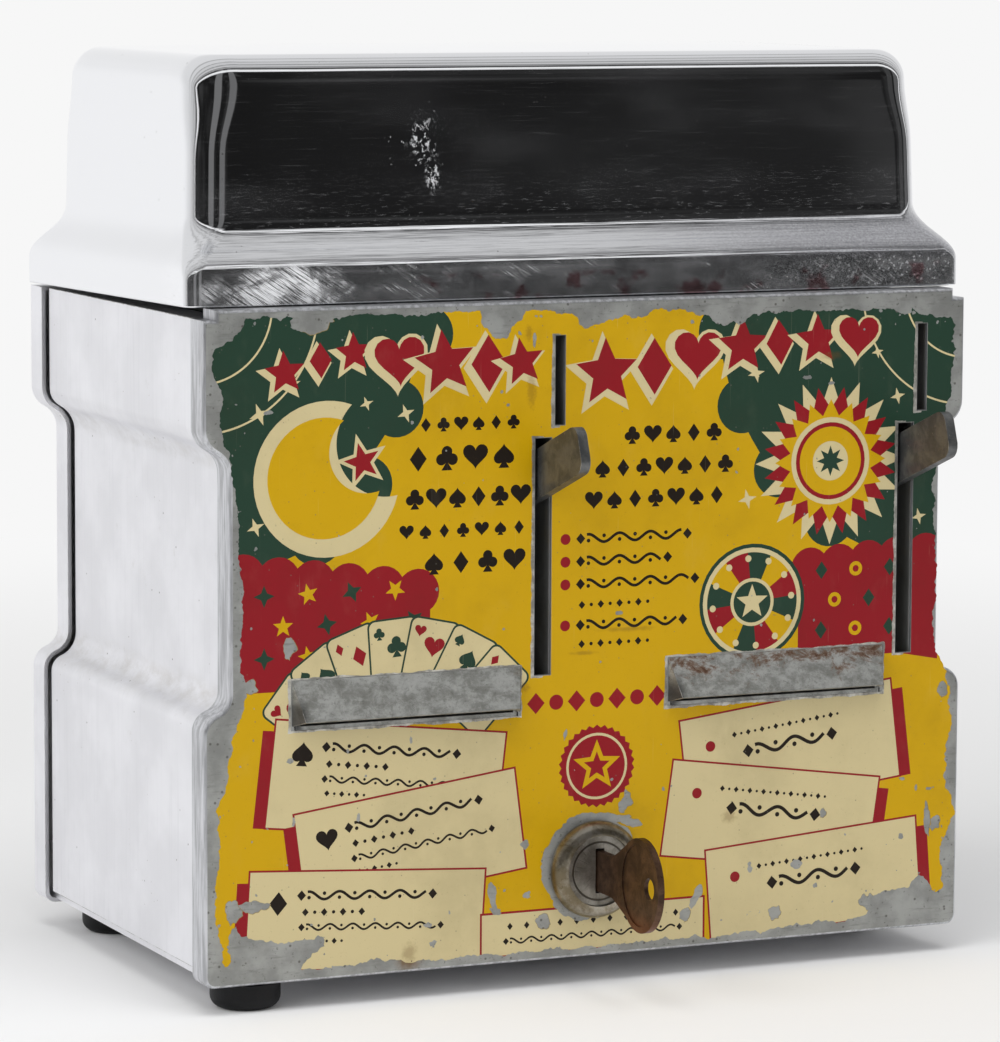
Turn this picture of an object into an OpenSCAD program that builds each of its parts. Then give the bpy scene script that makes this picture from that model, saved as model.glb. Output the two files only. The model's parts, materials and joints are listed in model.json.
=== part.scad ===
// Countertop fortune card dispenser: two coin operated card units side by side in one case.
// The case frame has x across, y back from the front plate's outer face and z up from the
// case's bottom edge. seat() carries that frame onto the rubber feet, centred on its footprint.

/* [Case] */
// Width of the case over its wide bands
case_w = 190.4; // [186:0.2:210]
// Depth of the case from the front plate to the back plate
case_d = 116; // [114:1:126]
// Height of the case at its shoulders
case_h = 149; // [146:1:160]
// How far the waist is drawn in on each side
step_in = 6.2; // [3:0.2:8]
// Height where the lower band starts to draw in
band_lo_z = 57; // [55:0.5:58]
// Height that the lower step takes
band_lo_h = 9; // [8:0.5:10]
// Height where the waist starts to flare out
waist_top_z = 114.6; // [112:0.2:118]
// Height that the upper step takes
band_hi_h = 10.4; // [9:0.2:12]
// Radius of the case's bottom corners
corner_r = 2.6; // [2:0.1:5]
// Thickness of the case's sheet metal
sheet = 1; // [0.8:0.1:1.2]
// Depth of the flange round the front and back pans
flange_d = 7.8; // [6:0.2:9]
// Gap between a side panel and the back pan's flange
rear_gap = 2.4; // [1:0.2:4]
// How far the front pan's centre stands above its shoulders
tab_rise = 2.2; // [1.5:0.1:3]
// Width of the notch at each top corner of the front pan
notch_w = 3; // [2:0.2:5]

/* [Lid] */
// Width of the lid over its skirt
lid_w = 194; // [193:0.2:200]
// Distance of the lid's skirt from the front plate's outer face
lid_front = 5; // [3:0.5:6]
// Distance of the lid's skirt from the back plate's outer face
lid_back = 1; // [0.5:0.1:2]
// Gap under the lid at its hinge
lid_gap = 0.8; // [0.6:0.1:1.5]
// Height of the lid's skirt up to the shoulder
skirt_h = 9.7; // [9:0.1:12]
// Height of the lid up to the edge of its top
lid_h = 54.9; // [50:0.2:70]
// How much higher the lid's top stands at the back than at the front
lid_lift = 1.5; // [0:0.1:3]
// Rise of the crowned top above that edge
crown = 0.8; // [0.2:0.1:2]
// How far the lid's box is set in from its skirt at the sides
box_in_x = 5.2; // [4:0.2:6]
// How far the lid's box is set in from its skirt at the front and back
box_in_y = 8.8; // [7:0.2:9]
// Height of the shoulder between skirt and box
shoulder_h = 8; // [6:0.5:10]
// Corner radius of the lid's box in plan
box_r = 8; // [7.5:0.1:12]
// Corner radius of the lid's skirt in plan
skirt_r = 3.8; // [2:0.1:12]
// Radius of the rounded edge round the lid's top
top_r = 7.2; // [4:0.2:7.4]
// Slope of the lid's box walls, in mm over their height
draft = 0.7; // [0.3:0.1:2]

/* [Hinge] */
// Radius of the hinge knuckles
knuckle_r = 1.9; // [1.7:0.1:1.9]
// Radius of the hinge pin
hinge_pin_r = 1; // [0.8:0.1:1.1]
// Length of the hinge
hinge_len = 120; // [90:5:150]
// Thickness of the hinge leaves
leaf_t = 1; // [0.8:0.1:1]

/* [Cards] */
// Width of a fortune card
card_w = 50; // [44:1:56]
// Length of a fortune card, front to back
card_l = 76; // [70:1:79]
// Height of the card stack
stack_h = 92; // [40:1:95]
// Height of the deck that carries the magazines
deck_z = 52; // [48:1:53]
// Space between the deck and the card shelf, for the pusher
shelf_rise = 5.2; // [5:0.1:6]
// How far the magazines rise above the case's shoulders
mag_rise = 29; // [27:0.5:29]
// Distance of the magazines from the front plate's outer face
mag_front = 19.5; // [19.5:0.1:21]
// Room round the cards in a magazine, on each side
card_room = 0.8; // [0.5:0.1:1]

/* [Hoods] */
// Height of a card hood's top edge
hood_top_z = 68.3; // [67:0.1:71]
// How far a hood stands out from the front plate
hood_out = 4.1; // [3.5:0.1:6]
// How far a hood is wider than its magazine, on each side
hood_side = 1.3; // [1:0.05:2]
// How far a hood's lip is drawn in on each side
hood_taper = 1.8; // [0.5:0.1:2.5]

/* [Levers] */
// Distance of the lever pivots behind the front plate's outer face
pivot_y = 40; // [38:0.5:42]
// Height of the lever pivots
pivot_z = 97.7; // [96:0.1:99]
// Length of a lever from its pivot
lever_len = 65.6; // [55:0.2:75]
// Width of a lever's blade
lever_w = 10.9; // [9:0.1:12.4]
// Thickness of a lever
lever_t = 2.4; // [1.6:0.1:2.8]
// Angle of a lever above level at rest
lever_rest = 20; // [16:1:22]
// Angle that a lever turns when it is pressed
lever_travel = 50; // [40:1:52]
// Length of a lever's tail, from the pivot to its round end
tail_len = 31; // [28:0.5:32]
// Radius of the lever shafts
shaft_r = 3; // [2:0.1:3.4]
// Width of a lever slot in the front plate
lever_slot_w = 4.1; // [3.6:0.1:4.6]
// Room above the lever in its slot
slot_room_top = 2.1; // [1:0.1:4]
// Room below the pressed lever in its slot
slot_room_low = 2.3; // [0.5:0.1:3]

/* [Coins] */
// Diameter of the coin
coin_d = 19.05; // [17:0.05:20]
// Thickness of the coin
coin_t = 1.5; // [1.2:0.1:1.8]
// Height of the coin slots' centres
coin_slot_z = 133.1; // [131:0.1:135]

/* [Lock] */
// Height of the lock's axis
lock_z = 20.5; // [20:0.1:21]
// Radius of the lock's bezel
bezel_r = 11.3; // [10.6:0.1:12.4]
// How far the bezel stands out from the front plate
bezel_out = 4.2; // [3.6:0.1:5]
// Radius of the threaded barrel
barrel_r = 9.5; // [9.2:0.1:9.6]
// Length of the barrel behind the front plate's outer face
barrel_len = 16; // [14:0.5:18]
// Radius of the plug's round face
plug_face_r = 8.15; // [7.6:0.05:8.3]
// Radius of the plug
plug_r = 6.5; // [6:0.1:6.8]
// Length of the cam from the lock's axis
cam_len = 16; // [14:0.5:16.5]

/* [Key] */
// Thickness of the key
key_t = 1.6; // [1.4:0.1:2.4]
// Height of the key's blade
key_blade_h = 9.4; // [7:0.1:9.8]
// Height of the key's bow
bow_h = 21.5; // [18:0.5:24]
// Length of the key's bow
bow_l = 20.2; // [16:0.2:24]
// How far the bow's middle stands above the blade's
bow_rise = 0.5; // [0:0.1:1]
// How far the key stands out from the front plate
key_out = 35.5; // [34:0.1:42]
// Radius of the hole in the bow
bow_hole_r = 2.5; // [1.5:0.1:3]
// How deep the bow's faces are pressed in within its rim
bow_dish = 0.3; // [0.1:0.05:0.4]
// Width of the rim round the bow
bow_rim = 1.4; // [0.8:0.1:2]

/* [Feet] */
// Radius of a rubber foot
foot_r = 8; // [6:0.5:8]
// How far the feet hold the case off the table
foot_h = 6.4; // [5:0.1:10]
// Radius of the round at a foot's lower edge
foot_round = 2.8; // [1:0.1:3]
// Distance of the outer feet from the case's sides
foot_side_in = 13.2; // [13.2:0.2:19]
// Distance of the front left foot from the front plate
foot_front_y = 9.4; // [9.4:0.2:14]
// Distance of the middle and right front feet from the front plate
foot_mid_y = 34.5; // [30:0.5:40]
// Distance of the rear feet from the back plate
foot_rear_in = 14; // [12:0.2:20]

/* [Fits] */
// Play between parts that pass each other
gap = 0.3; // [0.3:0.05:0.4]
// Radial play of a shaft in its bore
fit = 0.05; // [0.03:0.01:0.08]
// Radial play of a screw in its hole
screw_play = 0.1; // [0.05:0.05:0.2]

/* [Hidden] */
$fn = 64;

// Case outline
half_w = case_w / 2;
tab_x = half_w - notch_w;
tab_z = case_h + tab_rise;
inner_face = sheet;
panel_in = 2 * sheet;
panel_y1 = case_d - flange_d - rear_gap;
arc_steps = 7;

// Base
base_t = 1.5;
base_top = sheet + base_t;
base_x = half_w - panel_in - 2 * gap;
base_y0 = 4.6;
front_lip_y = base_y0 - 1.3 * gap;
lip_top = 6.5;
panel_lip = 3;
lip_x = half_w - panel_in - panel_lip - gap;
rear_flange_top = 14;
back_inner = case_d - sheet;

// Hinge and lid
hinge_out = 1.8;
hinge_up = 1.6;
hinge_y = case_d + hinge_out;
hinge_z = case_h + hinge_up;
lid_y0 = lid_front;
lid_y1 = case_d - lid_back;
lid_z0 = case_h + lid_gap;
lid_tilt = asin((tab_z + gap - lid_z0) / (hinge_y - lid_y0));
knuckle_gap = gap / 2;
knuckles = 5;
leaf_margin = 2.7;
lid_leaf_top = lid_z0 + skirt_h - leaf_margin;
case_leaf_h = 11;
case_leaf_low = case_h - case_leaf_h;
pin_proud = 0.6;
rivet_r = 1.6;
rivet_h = 0.8;
rivet_up = 4;
rivet_x = [-0.42 * hinge_len, -0.14 * hinge_len, 0.14 * hinge_len, 0.42 * hinge_len];

// Magazines, from the card outwards
mag_t = 0.8;
mag_half = card_w / 2 + card_room + mag_t;
mag_back = mag_front + card_l + 2 * card_room + 2 * mag_t;
card_y0 = mag_front + mag_t + card_room;
card_y1 = card_y0 + card_l;
deck_t = 1.2;
deck_top = deck_z + deck_t;
ledge_z = deck_top + shelf_rise;
ledge_t = 0.8;
ledge_w = 8;
shelf_under = ledge_z - ledge_t;
mag_top = case_h + mag_rise;
outlet_h = 1.2;
leg_y = 12;

// Levers, measured across from the lever's middle plane
lever_gap_in = 2.1;
bracket_t = 1.2;
bracket_x0 = -4.6;
hub_x0 = bracket_x0 + bracket_t + gap;
hub_x1 = lever_t / 2 + gap;
hub_r = shaft_r + 3;
shaft_x1 = 6;
clip_t = 0.7;
spring_x0 = hub_x1 + 0.2;
spring_x1 = shaft_x1 - clip_t - 0.9;
lever_off = mag_half + lever_gap_in - bracket_x0;
side_room = 0.8;
unit_x = half_w - step_in - panel_in - side_room - lever_off - (shaft_x1 + 0.4);
tail_r = 3.5;
tail_swing = lever_travel / 2;
pusher_travel = 2 * tail_len * sin(tail_swing);
slot_top = pivot_z + pivot_y * tan(lever_rest) + lever_w / 2 / cos(lever_rest) + slot_room_top;
press_angle = lever_travel - lever_rest;
slot_low = pivot_z - pivot_y * tan(press_angle) - lever_w / 2 / cos(press_angle) - slot_room_low;

// Coins, measured across from the lever's middle plane
coin_x = 4.1;
coin_slot_w = coin_t + 1;
coin_slot_h = coin_d + 1.3;
chute_in_w = coin_slot_w + 0.3;
chute_in_d = coin_d + 2.4;
chute_t = 0.8;
chute_y1 = sheet + chute_in_d + 2 * chute_t;
chute_top = coin_slot_z + coin_slot_h / 2 + 2.5;
chute_low = ledge_z - 1.4;

// Pusher
pusher_low = deck_top + gap;
pusher_t = 2;
pusher_top = pusher_low + pusher_t;
dog_y = card_y1 + 0.4 - pusher_travel;
dog_d = 3;
dog_half = 6;
bar_y0 = dog_y - 4;
bar_y1 = dog_y + 6;
lug_y = pivot_y - tail_len * sin(tail_swing) + tail_r / cos(tail_swing) + gap;
lug_d = 3;
lug_top = pivot_z - tail_len * cos(tail_swing);
strip_w = 5.4;
guide_r = 2.5;
guide_y = dog_y + 1;
guide_head_r = 4.5;
guide_low = deck_z - 7;

// Lock
lock_recess = 1;
cam_y0 = barrel_len + 1;
cam_t = 2;
cam_w = 10;
tail_end_r = 3;
tongue_y1 = cam_y0 - 0.5;
tongue_t = 1.5;
tongue_room = 0.7;
tongue_top = lock_z - barrel_r - tongue_room;
keyway_w = key_t + 2 * gap;
keyway_h = key_blade_h + 3 * gap;
keyway_y1 = barrel_len - 2;
nut_r = 13.6;
nut_t = 4;

// Footprint, which places the row's origin
front_reach = key_out;
back_reach = hinge_y + knuckle_r;
mid_y = (back_reach - front_reach) / 2;
foot_x = half_w - foot_side_in;
foot_mid_x = 2.4;
rear_left_in = 2;
rear_left_fwd = 1.2;
foot_spots = [
  [-foot_x, foot_front_y], [foot_mid_x, foot_mid_y], [foot_x, foot_mid_y],
  [rear_left_in - foot_x, case_d - foot_rear_in - rear_left_fwd], [foot_x, case_d - foot_rear_in]
];
foot_screw_r = 1.5;
foot_head_r = 2.7;
foot_head_h = 1.8;
foot_head_lift = 0.6;
foot_screw_up = 3;
foot_nut_r = 2.8;
foot_nut_h = 2.2;
foot_neck_r = 4;
foot_clear = 0.4;
sole_hole_r = 2.9;
back_screw_r = 1.9;
back_screw_len = 5;
back_head_r = 3.2;
back_head_h = 1.9;
base_screw_z = 9;
deck_screw_z = 35;
screw_spread = 60;
back_spots = concat(
  [for (x = [-screw_spread, 0, screw_spread]) [x, base_screw_z]],
  [for (x = [-screw_spread, screw_spread]) [x, deck_screw_z]]
);

// Curves and frames

function arc(c, r, a0, a1, n = arc_steps) =
  [for (i = [0:n]) let (a = a0 + (a1 - a0) * i / n) c + r * [cos(a), sin(a)]];

function mirrored(pts) = [for (i = [len(pts) - 1:-1:0]) [-pts[i][0], pts[i][1]]];

// Right side of the stepped outline, set in by d: two tangent arcs make each step
function steps(d) =
  let (
    lo = 2 * atan(step_in / band_lo_h),
    hi = 2 * atan(step_in / band_hi_h),
    r_lo = band_lo_h / (2 * sin(lo)),
    r_hi = band_hi_h / (2 * sin(hi)),
    waist = half_w - step_in
  )
  concat(
    arc([half_w - r_lo, band_lo_z], r_lo - d, 0, lo),
    arc([waist + r_lo, band_lo_z + band_lo_h], r_lo + d, 180 + lo, 180),
    arc([waist + r_hi, waist_top_z], r_hi + d, 180, 180 - hi),
    arc([half_w - r_hi, waist_top_z + band_hi_h], r_hi - d, -hi, 0)
  );

function pan_side(d) =
  concat(arc([half_w - corner_r, corner_r], corner_r - d, -90, 0), steps(d), [[half_w - d, case_h - d]]);

function front_outline(d) =
  let (side = concat(pan_side(d), [[tab_x - d, case_h - d], [tab_x - d, tab_z - d]]))
  concat(side, mirrored(side));

function back_outline(d) = concat(pan_side(d), mirrored(pan_side(d)));

module seat() translate([0, -mid_y, foot_h]) children();

module along_x(x0, x1) translate([x0, 0, 0]) rotate([90, 0, 90]) linear_extrude(x1 - x0) children();

module along_y(y0, y1) translate([0, y1, 0]) rotate([90, 0, 0]) linear_extrude(y1 - y0) children();

module box(lo, hi) translate(lo) cube(hi - lo);

module tube_y(x, z, r, y0, y1) translate([x, y0, z]) rotate([-90, 0, 0]) cylinder(r = r, h = y1 - y0);

module tube_x(y, z, r, x0, x1) translate([x0, y, z]) rotate([0, 90, 0]) cylinder(r = r, h = x1 - x0);

module tilted()
  translate([0, hinge_y, hinge_z]) rotate([-lid_tilt, 0, 0]) translate([0, -hinge_y, -hinge_z]) children();

// A tube of the given radius swept along points, closed at both ends
function dir(p, i) =
  let (a = p[max(i - 1, 0)], b = p[min(i + 1, len(p) - 1)]) (b - a) / norm(b - a);

module swept(p, r, sides = 6) {
  pts = [
    for (i = [0:len(p) - 1])
      let (t = dir(p, i), u0 = cross(t, [1, 0.2, 0.1]), u = u0 / norm(u0), v = cross(t, u))
      for (k = [0:sides - 1]) p[i] + r * (cos(360 * k / sides) * u + sin(360 * k / sides) * v)
  ];
  last = (len(p) - 1) * sides;
  quads = [
    for (i = [0:len(p) - 2]) for (k = [0:sides - 1])
      let (a = i * sides + k, b = i * sides + (k + 1) % sides)
      each [[a, b, a + sides], [b, b + sides, a + sides]]
  ];
  caps = [
    for (k = [1:sides - 2]) each [[0, k + 1, k], [last, last + k, last + k + 1]]
  ];
  polyhedron(pts, concat(quads, caps));
}

// Front housing: pan, side panels, hoods, chutes, brackets and lock

module unit_cuts(x) {
  lever_x = x + lever_off;
  box([lever_x - lever_slot_w / 2, -1, slot_low], [lever_x + lever_slot_w / 2, sheet + 1, slot_top]);
  box(
    [lever_x + coin_x - coin_slot_w / 2, -1, coin_slot_z - coin_slot_h / 2],
    [lever_x + coin_x + coin_slot_w / 2, sheet + 1, coin_slot_z + coin_slot_h / 2]
  );
  box([x - window_half, -1, window_low], [x + window_half, sheet + 1, window_top]);
}

module front_pan() color("silver") seat() difference() {
  along_y(0, flange_d) polygon(front_outline(0));
  along_y(sheet, flange_d + 1) polygon(front_outline(sheet));
  box([-base_x, front_lip_y, -1], [base_x, flange_d + 1, sheet + 0.01]);
  for (s = [-1, 1]) unit_cuts(s * unit_x);
  tube_y(0, lock_z, barrel_r + fit, -1, sheet + 1);
}

panel_low = base_top + 2 * gap;
panel_top_lip = 7;

module side_panel(s) color("gainsboro") seat() mirror([s < 0 ? 1 : 0, 0, 0]) {
  outer = concat([[half_w - sheet, panel_low]], steps(sheet), [[half_w - sheet, case_h]]);
  inner = concat([[half_w - panel_in, panel_low]], steps(panel_in), [[half_w - panel_in, case_h]]);
  difference() {
    along_y(sheet, panel_y1) polygon(concat(outer, [for (i = [len(inner) - 1:-1:0]) inner[i]]));
    box([half_w - panel_in - 1, 0, case_h - sheet], [half_w, flange_d + gap, case_h + 1]);
  }
  box(
    [half_w - panel_in - panel_lip, flange_d, panel_low],
    [half_w - panel_in, panel_y1, panel_low + sheet]
  );
  box(
    [half_w - panel_in - panel_top_lip, flange_d + gap, case_h - sheet],
    [half_w - panel_in, panel_y1, case_h]
  );
}

hood_half = mag_half + hood_side;
hood_t = 1;
hood_floor = ledge_z - 0.4;
hood_lip_z = hood_floor + 1.3;
window_half = hood_half - 0.6;
window_low = hood_floor - hood_t;
hood_rise = hood_top_z - hood_lip_z;
hood_slant = sqrt(hood_out * hood_out + hood_rise * hood_rise);
hood_back_z = hood_top_z - hood_t * hood_slant / hood_out;
window_top = hood_back_z - 0.3;
cheek_t = hood_t * sqrt(hood_out * hood_out + hood_taper * hood_taper) / hood_out;

// Plan of the hood between its slanted cheeks, drawn in by s and carried beyond both ends by e
module hood_plan(s, e) {
  k = hood_taper / hood_out;
  polygon([
    [-hood_half + s - k * e, e], [hood_half - s + k * e, e],
    [hood_half - s - hood_taper - k * e, -hood_out - e],
    [-hood_half + s + hood_taper + k * e, -hood_out - e]
  ]);
}

module card_hood(x) color("darkgray") seat() translate([x, 0, 0]) {
  difference() {
    intersection() {
      linear_extrude(2 * hood_top_z) hood_plan(0, 0);
      along_x(-hood_half, hood_half) polygon([[0, hood_top_z], [-hood_out, hood_lip_z], [0, hood_floor]]);
    }
    intersection() {
      linear_extrude(2 * hood_top_z) hood_plan(cheek_t, 1);
      along_x(-hood_half, hood_half)
        polygon([
          [1, hood_back_z + hood_rise / hood_out], [1, 0], [-hood_out, 0],
          [-hood_out, hood_back_z - hood_rise]
        ]);
    }
  }
  wall = window_half - gap;
  for (e = [-wall, wall - hood_t]) {
    box([e, -hood_t / 2, hood_floor + 1], [e + hood_t, 0.1, window_low + 7]);
    box([e, 0, window_low], [e + hood_t, mag_front - 2 * gap, window_low + 7]);
  }
  box([-wall, 0, window_low], [wall, mag_front - 2 * gap, hood_floor]);
  box([-wall, sheet, window_low - 7], [wall, sheet + hood_t, hood_floor]);
}

bracket_half = 12;
bracket_foot = 10;

module lever_bracket(x) color("gray") seat() {
  left = x + lever_off + bracket_x0;
  difference() {
    box(
      [left, sheet, pivot_z - bracket_half],
      [left + bracket_t, pivot_y + hub_r + 2, pivot_z + bracket_half]
    );
    tube_x(pivot_y, pivot_z, shaft_r + fit, left - 1, left + bracket_t + 1);
  }
  box(
    [left - bracket_foot, sheet, pivot_z - bracket_half],
    [left + bracket_t, sheet + bracket_t, pivot_z + bracket_half]
  );
}

module lever_shaft(x) color("dimgray") seat() {
  mid = x + lever_off;
  head_x = mid + bracket_x0 - 1.4;
  tube_x(pivot_y, pivot_z, shaft_r + 1, head_x, mid + bracket_x0);
  tube_x(pivot_y, pivot_z, shaft_r, mid + bracket_x0 - 0.1, mid + shaft_x1);
}

module shaft_clip(x) color("black") seat() {
  x0 = x + lever_off + shaft_x1 - clip_t - 0.4;
  difference() {
    tube_x(pivot_y, pivot_z, shaft_r + 1.8, x0, x0 + clip_t);
    tube_x(pivot_y, pivot_z, shaft_r + fit, x0 - 1, x0 + clip_t + 1);
  }
}

module coin_chute(x) color("lightgray") seat() {
  mid = x + lever_off + coin_x;
  half = chute_in_w / 2;
  difference() {
    box([mid - half - chute_t, sheet, chute_low], [mid + half + chute_t, chute_y1, chute_top]);
    box(
      [mid - half, sheet + chute_t, chute_low - 1],
      [mid + half, chute_y1 - chute_t, chute_top - chute_t]
    );
    box(
      [mid - coin_slot_w / 2, sheet - 1, coin_slot_z - coin_slot_h / 2],
      [mid + coin_slot_w / 2, sheet + chute_t + 1, coin_slot_z + coin_slot_h / 2]
    );
  }
}

// The dome of the bezel is a quarter ellipse from the plate to its inner edge
module lock_barrel() color("rosybrown") seat() translate([0, 0, lock_z]) rotate([90, 0, 0]) {
  edge = plug_face_r + fit;
  dome = [
    for (i = [0:12]) let (a = 90 * i / 12)
      [edge + (bezel_r - edge) * cos(a), 1 + (bezel_out - 1) * sin(a)]
  ];
  rotate_extrude() polygon(concat(
    [[plug_r + fit, -barrel_len], [barrel_r, -barrel_len], [barrel_r, 0], [bezel_r - 0.5, 0]],
    dome,
    [[edge, lock_recess], [plug_r + fit, lock_recess]]
  ));
}

module lock_nut() color("darkgray") seat() difference() {
  translate([0, sheet, lock_z]) rotate([-90, 0, 0]) cylinder(r = nut_r, h = nut_t, $fn = 6);
  tube_y(0, lock_z, barrel_r + fit, 0, sheet + nut_t + 1);
}

plug_front = -bezel_out + 0.8;

module lock_plug() color("tan") seat() difference() {
  union() {
    tube_y(0, lock_z, plug_face_r, plug_front, -lock_recess - gap);
    tube_y(0, lock_z, plug_r, -lock_recess - gap - 0.1, cam_y0);
    tube_y(0, lock_z, tail_end_r, cam_y0 - 0.1, cam_y0 + cam_t);
  }
  box(
    [-keyway_w / 2, plug_front - 1, lock_z - keyway_h / 2],
    [keyway_w / 2, keyway_y1, lock_z + keyway_h / 2]
  );
}

module lock_cam() color("gray") seat() difference() {
  union() {
    tube_y(0, lock_z, cam_w / 2, cam_y0, cam_y0 + cam_t);
    box([0, cam_y0, lock_z - cam_w / 2], [cam_len, cam_y0 + cam_t, lock_z + cam_w / 2]);
  }
  tube_y(0, lock_z, tail_end_r + fit, cam_y0 - 1, cam_y0 + cam_t + 1);
}

module cam_screw() color("dimgray") seat()
  tube_y(0, lock_z, tail_end_r + 1.2, cam_y0 + cam_t, cam_y0 + cam_t + 1.8);

// Flat key in the plane of its blade: an oval bow with a raised rim, a flared neck, a toothed blade
key_shoulder = plug_front - 0.6;
bow_mid = -key_out + bow_l / 2;
key_tip = keyway_y1 - 2 * gap;
bow_hole_y = -key_out + 5.3;
neck_y = key_shoulder - 5.5;

function oval(c, rx, ry) = [for (a = [0:6:354]) c + [rx * cos(a), ry * sin(a)]];

function flare(side) =
  let (
    h = side * key_blade_h / 2,
    join = [bow_mid + bow_l / 2 * cos(50), bow_rise + side * bow_h / 2 * sin(50)]
  )
  [
    for (t = [0:0.2:1])
      bezier([neck_y, h], [neck_y - 3.6, h], [neck_y - 4.2, 1.25 * h], join, t)
  ];

module key() color("saddlebrown") seat() difference() {
  along_x(-key_t / 2, key_t / 2) difference() {
    translate([0, lock_z]) union() {
      polygon(oval([bow_mid, bow_rise], bow_l / 2, bow_h / 2));
      polygon(concat(
        [[bow_mid, 0]], [for (i = [5:-1:0]) flare(-1)[i]],
        [[key_shoulder, -key_blade_h / 2], [key_shoulder, key_blade_h / 2]], flare(1)
      ));
      polygon([
        [key_shoulder - 1, -key_blade_h / 2], [key_tip - 3, -key_blade_h / 2],
        [key_tip, -key_blade_h / 2 + 3], [key_tip, key_blade_h / 2 - 4],
        [key_tip - 2, key_blade_h / 2 - 2.6], [key_tip - 4, key_blade_h / 2 - 4],
        [key_tip - 6, key_blade_h / 2 - 2], [key_tip - 8.5, key_blade_h / 2 - 3.4],
        [key_tip - 11, key_blade_h / 2 - 1.6], [key_tip - 13, key_blade_h / 2 - 1.6],
        [key_shoulder + 0.6, key_blade_h / 2], [key_shoulder - 1, key_blade_h / 2]
      ]);
    }
    translate([bow_hole_y, lock_z + bow_rise]) circle(r = bow_hole_r);
  }
  for (x = [[-key_t, -key_t / 2 + bow_dish], [key_t / 2 - bow_dish, key_t]])
    along_x(x[0], x[1]) translate([0, lock_z])
      polygon(oval([bow_mid, bow_rise], bow_l / 2 - bow_rim, bow_h / 2 - bow_rim));
}

// Levers, which swing on the shafts, with their return springs

module lever_outline() {
  tip = 3.2;
  rotate(-lever_rest) polygon(concat(
    [[0, -lever_w / 2]],
    arc([-lever_len + tip, -lever_w / 2 + tip], tip, 270, 190, 4),
    arc([-lever_len + tip, lever_w / 2 - tip], tip, 170, 90, 4),
    [[0, lever_w / 2]]
  ));
  circle(r = lever_w / 2 + 1.4);
  rotate(-90 - tail_swing) translate([0, -tail_r]) square([tail_len, 2 * tail_r]);
  rotate(-90 - tail_swing) translate([tail_len, 0]) circle(r = tail_r);
}

module lever(x) color("dimgray") seat() {
  mid = x + lever_off;
  difference() {
    union() {
      along_x(mid - lever_t / 2, mid + lever_t / 2) translate([pivot_y, pivot_z]) lever_outline();
      tube_x(pivot_y, pivot_z, hub_r, mid + hub_x0, mid + hub_x1);
    }
    tube_x(pivot_y, pivot_z, shaft_r + fit, mid + hub_x0 - 1, mid + hub_x1 + 1);
  }
}

wire_r = 0.4;
coil_r = shaft_r + 1.4;
coil_turns = 3;
coil_steps = 8;

// One arm lies forward along the lever's blade and the other reaches the coin chute's back
module lever_spring(x) color("slategray") seat() {
  mid = x + lever_off;
  x0 = spring_x0 + wire_r;
  x1 = spring_x1 - wire_r;
  blade = 180 - lever_rest + 90;
  ends = 127;
  sweep_a = 360 * coil_turns + ends - blade;
  n = coil_steps * (coil_turns + 1);
  coil = [
    for (i = [0:n])
      let (a = blade + sweep_a * i / n)
      [mid + x0 + (x1 - x0) * i / n, pivot_y + coil_r * cos(a), pivot_z + coil_r * sin(a)]
  ];
  arm_a = coil[0] + 13 * [0, sin(blade), -cos(blade)];
  arm_b = coil[n] + 15 * [0, -sin(ends), cos(ends)];
  swept(concat([arm_a], coil, [arm_b]), wire_r);
}

// Rear half: back pan, base, deck, ramp and magazines

module back_pan() color("silver") seat() difference() {
  along_y(case_d - flange_d, case_d) polygon(back_outline(0));
  along_y(case_d - flange_d - 1, back_inner) polygon(back_outline(sheet));
  back_holes();
}

module back_holes()
  for (p = back_spots)
    tube_y(p[0], p[1], back_screw_r + screw_play, case_d - 2 * back_screw_len, case_d + 1);

module base_pan() color("darkslategray") seat() {
  difference() {
    union() {
      box([-base_x, base_y0, sheet], [base_x, back_inner, base_top]);
      box([-lip_x, base_y0, sheet], [lip_x, base_y0 + base_t, lip_top]);
      box([-base_x, back_inner - base_t, sheet], [base_x, back_inner, rear_flange_top]);
      box([-cam_w, tongue_y1 - tongue_t, sheet], [cam_w, tongue_y1, tongue_top]);
    }
    back_holes();
    for (p = foot_spots)
      translate([p[0], p[1], 0]) cylinder(r = foot_screw_r + screw_play, h = base_top + 1);
  }
}

leg_gap = 2.2;
leg_in = half_w - panel_in - panel_lip - leg_gap;

module deck() color("lightsteelblue") seat() difference() {
  union() {
    box([-leg_in - deck_t, mag_front, deck_z], [leg_in + deck_t, back_inner, deck_top]);
    for (s = [-1, 1]) mirror([s < 0 ? 1 : 0, 0, 0])
      box(
        [leg_in, base_y0 + base_t + gap, base_top],
        [leg_in + deck_t, back_inner - base_t - gap, deck_top]
      );
    box([-leg_in, back_inner - deck_t, rear_flange_top + 4], [leg_in, back_inner, deck_top]);
    for (s = [-1, 1])
      box([s * unit_x - 3, mag_front, guide_low], [s * unit_x + 3, mag_front + deck_t, deck_top]);
  }
  back_holes();
  for (s = [-1, 1]) {
    slot_half = guide_r + gap;
    y0 = guide_y - slot_half;
    y1 = guide_y + pusher_travel + slot_half;
    box([s * unit_x - slot_half, y0, deck_z - 1], [s * unit_x + slot_half, y1, deck_top + 1]);
    coin = s * unit_x + lever_off + coin_x;
    box([coin - 4, mag_front - 1, deck_z - 1], [coin + 4, chute_y1 + 2, deck_top + 1]);
    tube_y(s * unit_x, guide_low + 2, wire_r + 0.8, mag_front - 1, mag_front + deck_t + 1);
  }
}

ramp_below = 2.5;
ramp_run = 25;
ramp_drop = 12;
ramp_y0 = base_y0 + base_t + gap;
ramp_hi = deck_z - ramp_below;
ramp_y1 = ramp_y0 + ramp_run;
ramp_lo = ramp_hi - ramp_drop;

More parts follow.
